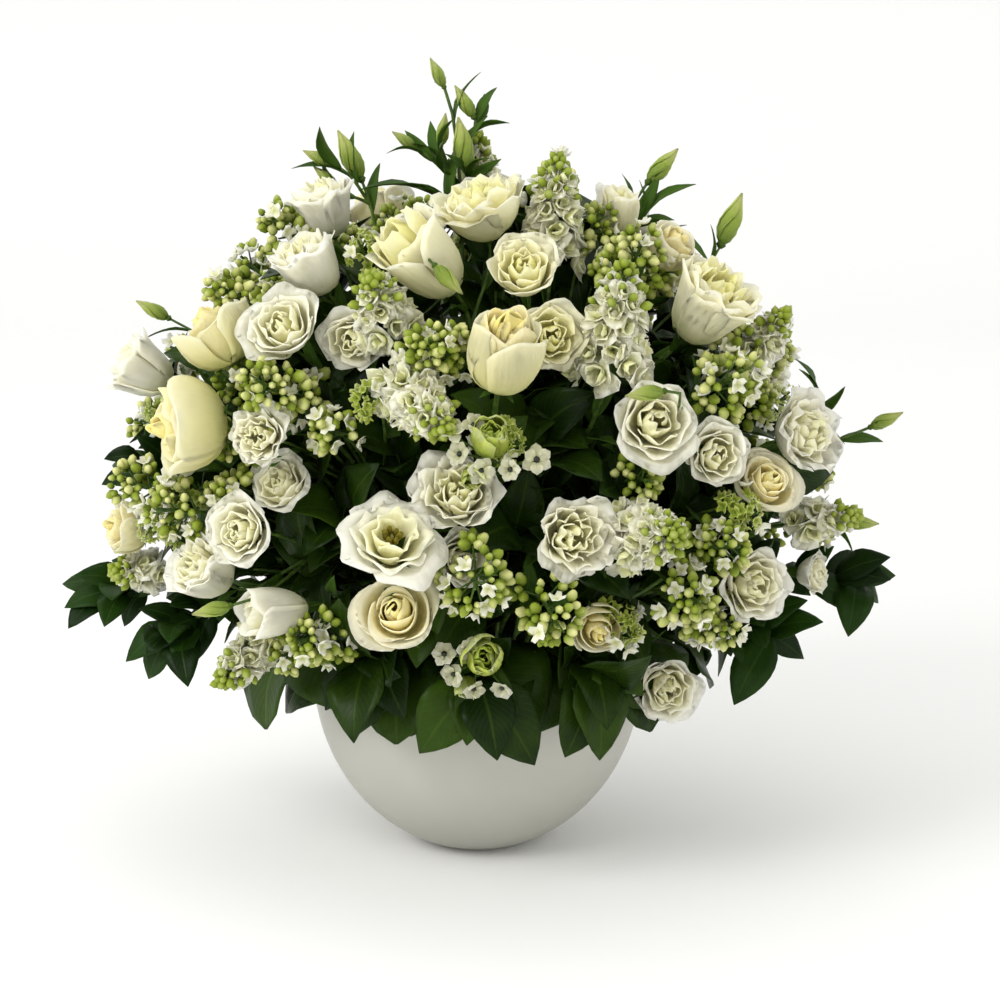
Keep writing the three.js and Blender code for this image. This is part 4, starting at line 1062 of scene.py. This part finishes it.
def carried_heads(node, items):
    """Petals, buds and sepals for the lisianthus heads among some items."""
    parts = []
    for item in items:
        if item.kind in LISIANTHUS:
            petals = placed(whorl(LISIANTHUS[item.kind], item.seed), item)
            sepals = placed(calyx(5, 0.36, 0.16, 0.85, item.seed), item)
            parts.append(mesh_object(node + "_petals", petals, ivory_skin if node in IVORY else white_skin))
            parts.append(mesh_object(node + "_sepals", sepals, narrow_skin))
            if item.kind == "open":
                parts.append(eye(node, item))
        elif item.kind == "bud":
            petals = placed(closed_bud(), item)
            sepals = placed(calyx(4, 0.36, 0.1, 0.3, item.seed), item)
            parts.append(mesh_object(node + "_bud", petals, bud_skin))
            parts.append(mesh_object(node + "_sepals", sepals, narrow_skin))
    return parts


for node, items in CARRIED.items():
    if not node.startswith(("lisianthus", "buds")):
        continue
    parts = [stems(node + "_stems", stem_paths(node), (2.1, 1.2), (1.5, 1))]
    parts += carried_heads(node, items)
    marks = []
    for item in items:
        if item.kind != "bud" or node.startswith("buds"):
            marks += leaves_along(item.path, 0.4, 0.85, 3, 38 * mm, 0.7, item.seed)
        if item.kind == "narrow":
            marks += [leaf_to_tip(item.path, tip, LEAF_LENGTH["narrow"]) for tip in item.tips]
    parts.append(growth(node + "_leaves", marks, LEAVES["narrow"], narrow_skin, 0.1, items[0].seed))
    slot = "white_petals" if node.startswith("lisianthus") else "green_buds"
    put(fused(node + "_spray", parts), slot, node)


# Stock. Spikes of small double florets, each a ruffled rosette of white petals, packed round a green stem
# that ends in green buds on short stalks. Long matt leaves stand on the stem.
FLORET_SPACE = 12 * mm
TIP_BUDS = 26
stock_skin = petal_skin("white_stock_petal", "#93a23e", "#e8e6b8", "#f7f4dc", "#dcde9a", 0.6)
FLORET = SimpleNamespace(
    petals=6,
    heart=[(0.12, 0.10), (0.20, 0.26), (0.15, 0.42)],
    outer=[(0.22, 0.04), (0.42, 0.24), (0.53, 0.30)],
    half=(0.28, 0.48), opening=((0, 1), (0, 1)), loose=0.35, roll=0.05, ruffle=0.07, waves=3, taper=0.1,
    rows=4, cols=5)
florets = variants("stock_floret", [whorl(FLORET, 1000 + 50 * i) for i in range(5)])

# Round bud skin: smooth with a slight gloss, yellow-green in patches 12 mm wide, and paler towards the tip
round_bud_skin, nodes, shader = new_material(
    "smooth_bud_skin", Roughness=0.45, IOR=1.4, Specular_IOR_Level=0.3)
tone = add_node(nodes, "ShaderNodeAttribute", attribute_name="blade").outputs["Vector"]
parts = add_node(nodes, "ShaderNodeSeparateXYZ", {"Vector": tone}).outputs
where = add_node(nodes, "ShaderNodeTexCoord").outputs["Object"]
blend = worked_out(nodes, "ADD", noise(nodes, where, 12 * mm), parts["Y"])
ripe = worked_out(nodes, "MULTIPLY", worked_out(nodes, "ADD", blend, parts["Z"]), 0.36)
green = ramp(nodes, ripe, (0.15, "#465a0e"), (0.5, "#84942c"), (0.85, "#d3d38e"))
nodes.links.new(green, shader.inputs["Base Color"])


def toned_bud(profile, sides, shade):
    """A small turned bud whose tone runs from its foot to its tip."""
    points, faces = turned(profile, sides)
    up = points[:, 2]
    return points, faces, np.stack([0 * up, up, shade + 0 * up], 1)


green_buds = variants("green_bud", [
    [toned_bud([(0, 0), (0.2, 0.08), (0.34, 0.36), (0.3, 0.7), (0, 1)], 7, 0.2)]])


def around(item, count, low, high, reach_at, lift):
    """Places in a spiral on a head's axis, each with the way outwards from it and how far to reach."""
    places = []
    for i in range(count):
        s = (i + 0.5) / count
        out = across(item.face, i * GOLDEN + item.seed)
        way = (out + item.face * (lift + 0.9 * s)).normalized()
        axis = item.base + item.face * (low + (high - low) * s)
        places.append((axis, way, reach_at(s)))
    return places


def spike_parts(node, item):
    """Florets in a spiral up a spike, smaller towards its tip, and green buds on stalks round the tip."""
    width, length = item.width, item.length
    count = int(width * length / FLORET_SPACE ** 2)
    lower = around(item, count, 0.0, 0.76 * length, lambda s: width * (0.5 - 0.16 * s), 0.1)
    upper = around(item, TIP_BUDS, 0.55 * length, 1.0 * length, lambda s: width * (0.44 - 0.32 * s), 0.5)
    flowers = [(axis + way * (reach - 10 * mm), way, across(way, i), 26 * mm * (1.05 - 0.35 * i / count))
               for i, (axis, way, reach) in enumerate(lower)]
    tips = [(axis + way * (reach - 6 * mm), way, across(way, i), 8.5 * mm)
            for i, (axis, way, reach) in enumerate(upper)]
    spine = np.array([item.base + item.face * length * s for s in (0, 0.35, 0.7, 0.98)])
    stalks = [np.array([tip - way * (reach - 6 * mm), tip])
              for (_, way, reach), (tip, *_) in zip(upper, tips)]
    return [
        stems(node + "_axis", [spine, *stalks], (2.6, 1.2), (0.8, 0.7), 5),
        growth(node + "_florets", flowers, florets, stock_skin, 0.15, item.seed),
        growth(node + "_tips", tips, green_buds, round_bud_skin, 0.25, item.seed)]


# Pearl buds and stars. Round buds on thin stalks, yellow-green and paler at the top, crowd in bunches, and
# some have opened to small white florets. Other bunches are of lime-green florets. The stars have six white
# petals round a black seed case, and most stand on stalks beside tight lime-green ruffs.
lime_skin = petal_skin("lime_green_petal", "#4f6a18", "#7c9024", "#a8b444", "#7f9428", 0.55)
star_skin = petal_skin("white_star_petal", "#a9b54c", "#e9e7bc", "#f2f0d8", "#e6e4b4", 0.5)

# Seed case skin: hard and glossy, nearly black, with dull spots 3 mm wide
black_skin, nodes, shader = new_material("black_seed_case", Roughness=0.2, IOR=1.45)
where = add_node(nodes, "ShaderNodeTexCoord").outputs["Object"]
tone = ramp(nodes, noise(nodes, where, 3 * mm), (0.3, "#0d120c"), (0.8, "#27301f"))
nodes.links.new(tone, shader.inputs["Base Color"])


def star_petals(seed):
    """The six petals of a star of width 1, which stand up unevenly."""
    shells = []
    for i in range(6):
        points, faces, tone = leaf(0.5, 0.8, 1.25, 0.1, 0.1, 0.09, seed + i, 6, 5)
        x, y, z = points.T
        a = math.pi * i / 3
        rise = 0.1 + 0.5 * draw(seed + i)
        out = z * math.cos(rise)
        up = z * math.sin(rise) + y + 0.03 * (i % 2)
        shells.append((swung(x, out, up, a), faces, tone))
    return shells


def lobed_flower(lobes, seed):
    """A small open flower of width 1 in one closed skin, its rim cut in round lobes that stand unevenly."""
    profile = [(0, 0), (0.26, 0.1), (0.5, 0.22), (0.48, 0.25), (0.24, 0.14), (0, 0.05)]
    sides = 3 * lobes
    points, faces = turned(profile, sides)
    reach = np.linalg.norm(points[:, :2], axis=1)
    side = np.round(np.arctan2(points[:, 1], points[:, 0]) / (2 * np.pi / sides)).astype(int) % sides
    notch = side % 3 == 0
    uneven = np.array([draw(seed + k) for k in range(sides)])[side]
    points[:, :2] *= 1 - (reach * (0.75 * notch + 0.2 * uneven))[:, None]
    points[:, 2] += reach * (0.5 * uneven - 0.4 * notch)
    return [(points, faces, np.stack([0 * reach, 2 * reach, 0.5 + 0.5 * uneven], 1))]


RUFF = SimpleNamespace(
    petals=11,
    heart=[(0.12, 0.10), (0.24, 0.50), (0.05, 0.78)],
    outer=[(0.46, 0.0), (0.62, 0.52), (0.34, 0.84)],
    half=(0.22, 0.55), opening=((0, 1), (0.1, 1)), loose=0.25, roll=0.02, ruffle=0.05, waves=5, taper=0.2,
    rows=6, cols=9)
bead_profile = [(0, 0), (0.3, 0.12), (0.44, 0.46), (0.26, 0.86), (0, 1.04)]
case_profile = [(0, 0), (0.1, 0.01), (0.11, 0.1), (0.05, 0.16), (0, 0.17)]
beads = variants("pearl_bud", [[toned_bud(bead_profile, 6, shade)] for shade in (0.0, 0.3, 0.6, 0.9)])
lime_ruffs = variants("lime_ruff", [whorl(RUFF, 1400 + 60 * i) for i in range(2)])
stars = variants("star", [star_petals(40 * i) for i in range(3)])
small_florets = variants("small_floret", [lobed_flower(4, 300 + 40 * i) for i in range(5)])
lime_florets = variants("lime_floret", [lobed_flower(4, 500 + 40 * i) for i in range(4)])
seed_cases = variants("seed_case", [[turned(case_profile, 8)]])


def ruff_parts(node, item):
    """Two tight green ruffs at the end of a stem, with a few stars on stalks beside them."""
    side = across(item.face)
    over = item.face.cross(side)
    large = item.base - side * 4 * mm - over * 3 * mm
    small = item.base + side * 9 * mm + over * 12 * mm
    balls = [(large, (item.face - over * 0.5).normalized(), over, 31 * mm),
             (small, (item.face + over * 0.6).normalized(), side, 19 * mm)]
    places = [item.base + item.face * 14 * mm + side * x * mm + over * y * mm
              for x, y in ((17, 2), (4, 13), (24, -13), (-17, 12), (9, -18))]
    marks = [(place, (item.face + across(item.face, 2.4 * k) * 0.5).normalized(), over, 20 * mm)
             for k, place in enumerate(places)]
    stalks = [np.array([item.base - item.face * 6 * mm, place]) for place, *_ in marks]
    return [
        stems(node + "_stalks", stalks, (0.9, 0.7), sides=4),
        growth(node + "_ruffs", balls, lime_ruffs, lime_skin, 0.05, item.seed),
        growth(node + "_stars", marks, stars, star_skin, 0.15, item.seed),
        growth(node + "_cases", marks, seed_cases, black_skin, 0.1, item.seed)]


def bunch_parts(node, item):
    """Buds, three or more together, on side stalks round the end of a stem. A share of them have opened."""
    length = 1.1 * item.width
    branches = int(4 + item.width / (6 * mm))
    stalks, closed, opened = [], [], []
    for i in range(branches):
        s = (i + 0.5) / branches
        side = across(item.face, i * GOLDEN + item.seed)
        low = item.base + item.face * length * (0.8 * s - 0.42)
        out = item.width * (0.42 - 0.24 * s) * (0.7 + 0.5 * draw(item.seed + i))
        tip = low + item.face * length * 0.2 + side * out
        ahead = (tip - low).normalized()
        stalks.append(np.array([low, low.lerp(tip, 0.5), tip]))
        for k in range(3 + int(4 * draw(item.seed + 7 * i))):
            n = item.seed + 13 * i + k
            way = (ahead + across(ahead, 2.4 * k) * (0.9 if k else 0)).normalized()
            place = tip + way * 2 * mm + across(ahead, 2.4 * k) * (2.6 * mm if k else 0)
            size = (10.6 - 3 * s - 2 * draw(3 * n)) * mm
            if draw(11 * n) < item.opened:
                opened.append((place + way * 4 * mm, way, across(way, k), 13 * mm))
            else:
                closed.append((place, way, across(way, k), size))
    axis = np.array([item.base, item.base + item.face * length * 0.6])
    parts = [stems(node + "_stalks", [axis, *stalks], (1.7, 1.1), (0.9, 0.7), 4)]
    if item.kind == "green":
        parts.append(growth(node + "_buds", closed, lime_florets, lime_skin, 0.3, item.seed))
    else:
        parts.append(growth(node + "_buds", closed, beads, round_bud_skin, 0.24, item.seed))
    if opened:
        parts.append(growth(node + "_open", opened, small_florets, star_skin, 0.15, item.seed))
    return parts


# Smaller bunches fill gaps between the heads, each on a side stalk of the nearest stem with pearl buds. Those
# in front have places of their own, in mm. The rest stand by a rule, a little inside the dome's surface at
# its sides and back, wherever there is room
RULE_PLACES = 320
FRONT = -0.35  # the rule leaves out places that face further to the front than this
HEAD_GAP = 14 * mm
BUNCH_GAP = 48 * mm
GREEN_SHARE = 0.26
MOST_OPENED = 0.2  # the largest share of a bunch's buds that have opened
MIDDLE = Vector((0, 0, DOME.middle * mm))
MORE_PEARLS = [
    (-102, -201, 365), (-15, -219, 424), (-173, -176, 315), (-264, -54, 254), (97, -155, 471),
    (132, -119, 468), (59, -79, 532), (117, -196, 329), (258, -44, 268), (164, -171, 220),
    (-170, -157, 392), (162, -180, 282), (-98, -188, 214), (-136, -169, 198), (194, -132, 418),
    (204, -113, 375), (-125, -178, 384), (-247, -58, 219), (-170, -166, 353), (256, -50, 312),
    (84, -121, 501)]
MORE_GREEN = [(-72, -222, 389), (-78, -168, 487), (104, -202, 225), (-216, -151, 314), (18, -240, 364),
              (-232, -140, 286), (190, -190, 306)]


def filler(kind, width, at, seed):
    """A smaller bunch at a place in mm, which faces outwards from the dome's middle."""
    way = (Vector(at) * mm - MIDDLE).normalized()
    item = head(kind, at, way, 0.32 * width, 0.15 * width, width=width * mm, seed=seed)
    item.opened = MOST_OPENED * draw(seed)
    item.base = item.at - item.face * item.back
    return item


fillers = [filler("pearls", 28 + 8 * draw(i), at, 20000 + 100 * i) for i, at in enumerate(MORE_PEARLS)]
fillers += [filler("green", 30, at, 30000 + 100 * i) for i, at in enumerate(MORE_GREEN)]
for i in range(RULE_PLACES):
    turn = math.degrees(i * GOLDEN)
    lift = math.degrees(math.asin(1 - 1.5 * (i + 0.5) / RULE_PLACES))
    if facing(turn, lift).y < FRONT:
        continue
    reach = Vector(on_dome(turn, lift)) * mm
    place = MIDDLE.lerp(reach, 0.86 + 0.1 * draw(i))
    clear_of_heads = all((place - item.at).length > item.room + HEAD_GAP for item in pressing)
    if clear_of_heads and all((place - other.at).length > BUNCH_GAP for other in fillers):
        kind = "green" if draw(5 * i) < GREEN_SHARE else "pearls"
        fillers.append(filler(kind, 34 + 8 * draw(i), tuple(place / mm), 40000 + 100 * i))
carriers = [item for node, items in CARRIED.items() if node.startswith("pearls") for item in items]
for item in heads:
    item.opened = MOST_OPENED * draw(item.seed)


def side_bunches(node, item):
    """The smaller bunches that have this one as their nearest on a pearls stem, each on its side stalk."""
    fork = Vector(item.path[4])  # about halfway along
    parts = []
    for extra in fillers:
        if min(carriers, key=lambda other: (other.at - extra.at).length) is item:
            path = bent_path(fork, (extra.base - fork).normalized(), extra)
            parts.append(stems(node + "_side", [path], (1.4, 1.1)))
            parts += bunch_parts(node, extra)
    return parts


for node, items in CARRIED.items():
    if not node.startswith(("stock", "pearls", "stars")):
        continue
    parts = [stems(node + "_stems", stem_paths(node), (2.1, 1.6), (1.5, 1.2))]
    for item in items:
        if item.kind == "spike":
            parts += spike_parts(node, item)
        elif item.kind == "pearls" and node == "stars":
            parts += ruff_parts(node, item)
        elif item.kind == "pearls":
            parts += bunch_parts(node, item) + side_bunches(node, item)
        else:
            mark = [(item.base, item.face, across(item.face), 1.15 * item.width)]
            parts.append(growth(node + "_star", mark, stars, star_skin, 0, item.seed))
            parts.append(growth(node + "_centre", mark, seed_cases, black_skin, 0, item.seed))
    marks = leaves_along(items[0].path, 0.35, 0.8, 4, 48 * mm, 0.6, items[0].seed)
    parts.append(growth(node + "_leaves", marks, LEAVES["narrow"], narrow_skin, 0.15, items[0].seed))
    put(fused(node + "_spray", parts), "green_buds" if node.startswith("pearls") else "white_petals", node)


# Studio. A plain pale floor of matt paper that curves up into a backdrop, a large soft light from the upper
# left, and a weak one from the right. The camera stands 1.8 m away and looks down by 10 degrees.
FLOOR_HALF_WIDTH = 8
CAMERA_PLACE = Vector((0.018, -1.77265, 0.59242))
CAMERA_AIM = Vector((0.018, 0, 0.27985))

floor_line = [(-6, 0), (1.6, 0), (2.6, 0.15), (3.2, 0.8), (3.4, 2.0), (3.4, 6)]
floor_verts = [(x, y, z) for y, z in floor_line for x in (-FLOOR_HALF_WIDTH, FLOOR_HALF_WIDTH)]
floor_faces = [(2 * i, 2 * i + 1, 2 * i + 3, 2 * i + 2) for i in range(len(floor_line) - 1)]
paper, nodes, shader = new_material(
    "matt_white_backdrop_paper", Roughness=0.9, Base_Color=linear("#fbfbf9"))
floor_mesh = bpy.data.meshes.new("backdrop")
floor_mesh.from_pydata(floor_verts, [], floor_faces)
floor_mesh.materials.append(paper)
floor_mesh.shade_smooth()
floor = new_object("backdrop", floor_mesh)

world = bpy.data.worlds.new("studio")
world.use_nodes = True
sky = world.node_tree.nodes["Background"]
sky.inputs["Color"].default_value = linear("#ffffff")
sky.inputs["Strength"].default_value = 0.95
bpy.context.scene.world = world
bpy.context.scene.view_settings.view_transform = "Standard"

for name, place, size, power in (("key", (-1.45, -1.6, 1.6), 1.0, 31), ("fill", (1.8, -1.2, 1.1), 1.6, 3)):
    lamp = bpy.data.lights.new(name, "AREA")
    lamp.size = size
    lamp.energy = power
    light = new_object(name, lamp)
    light.location = place
    light.rotation_euler = (Vector((0, 0, 0.3)) - Vector(place)).to_track_quat("-Z", "Y").to_euler()

lens = bpy.data.cameras.new("camera")
lens.lens = 81.0
lens.sensor_width = 36
camera = new_object("camera", lens)
camera.location = CAMERA_PLACE
camera.rotation_euler = (CAMERA_AIM - CAMERA_PLACE).to_track_quat("-Z", "Y").to_euler()
bpy.context.scene.camera = camera
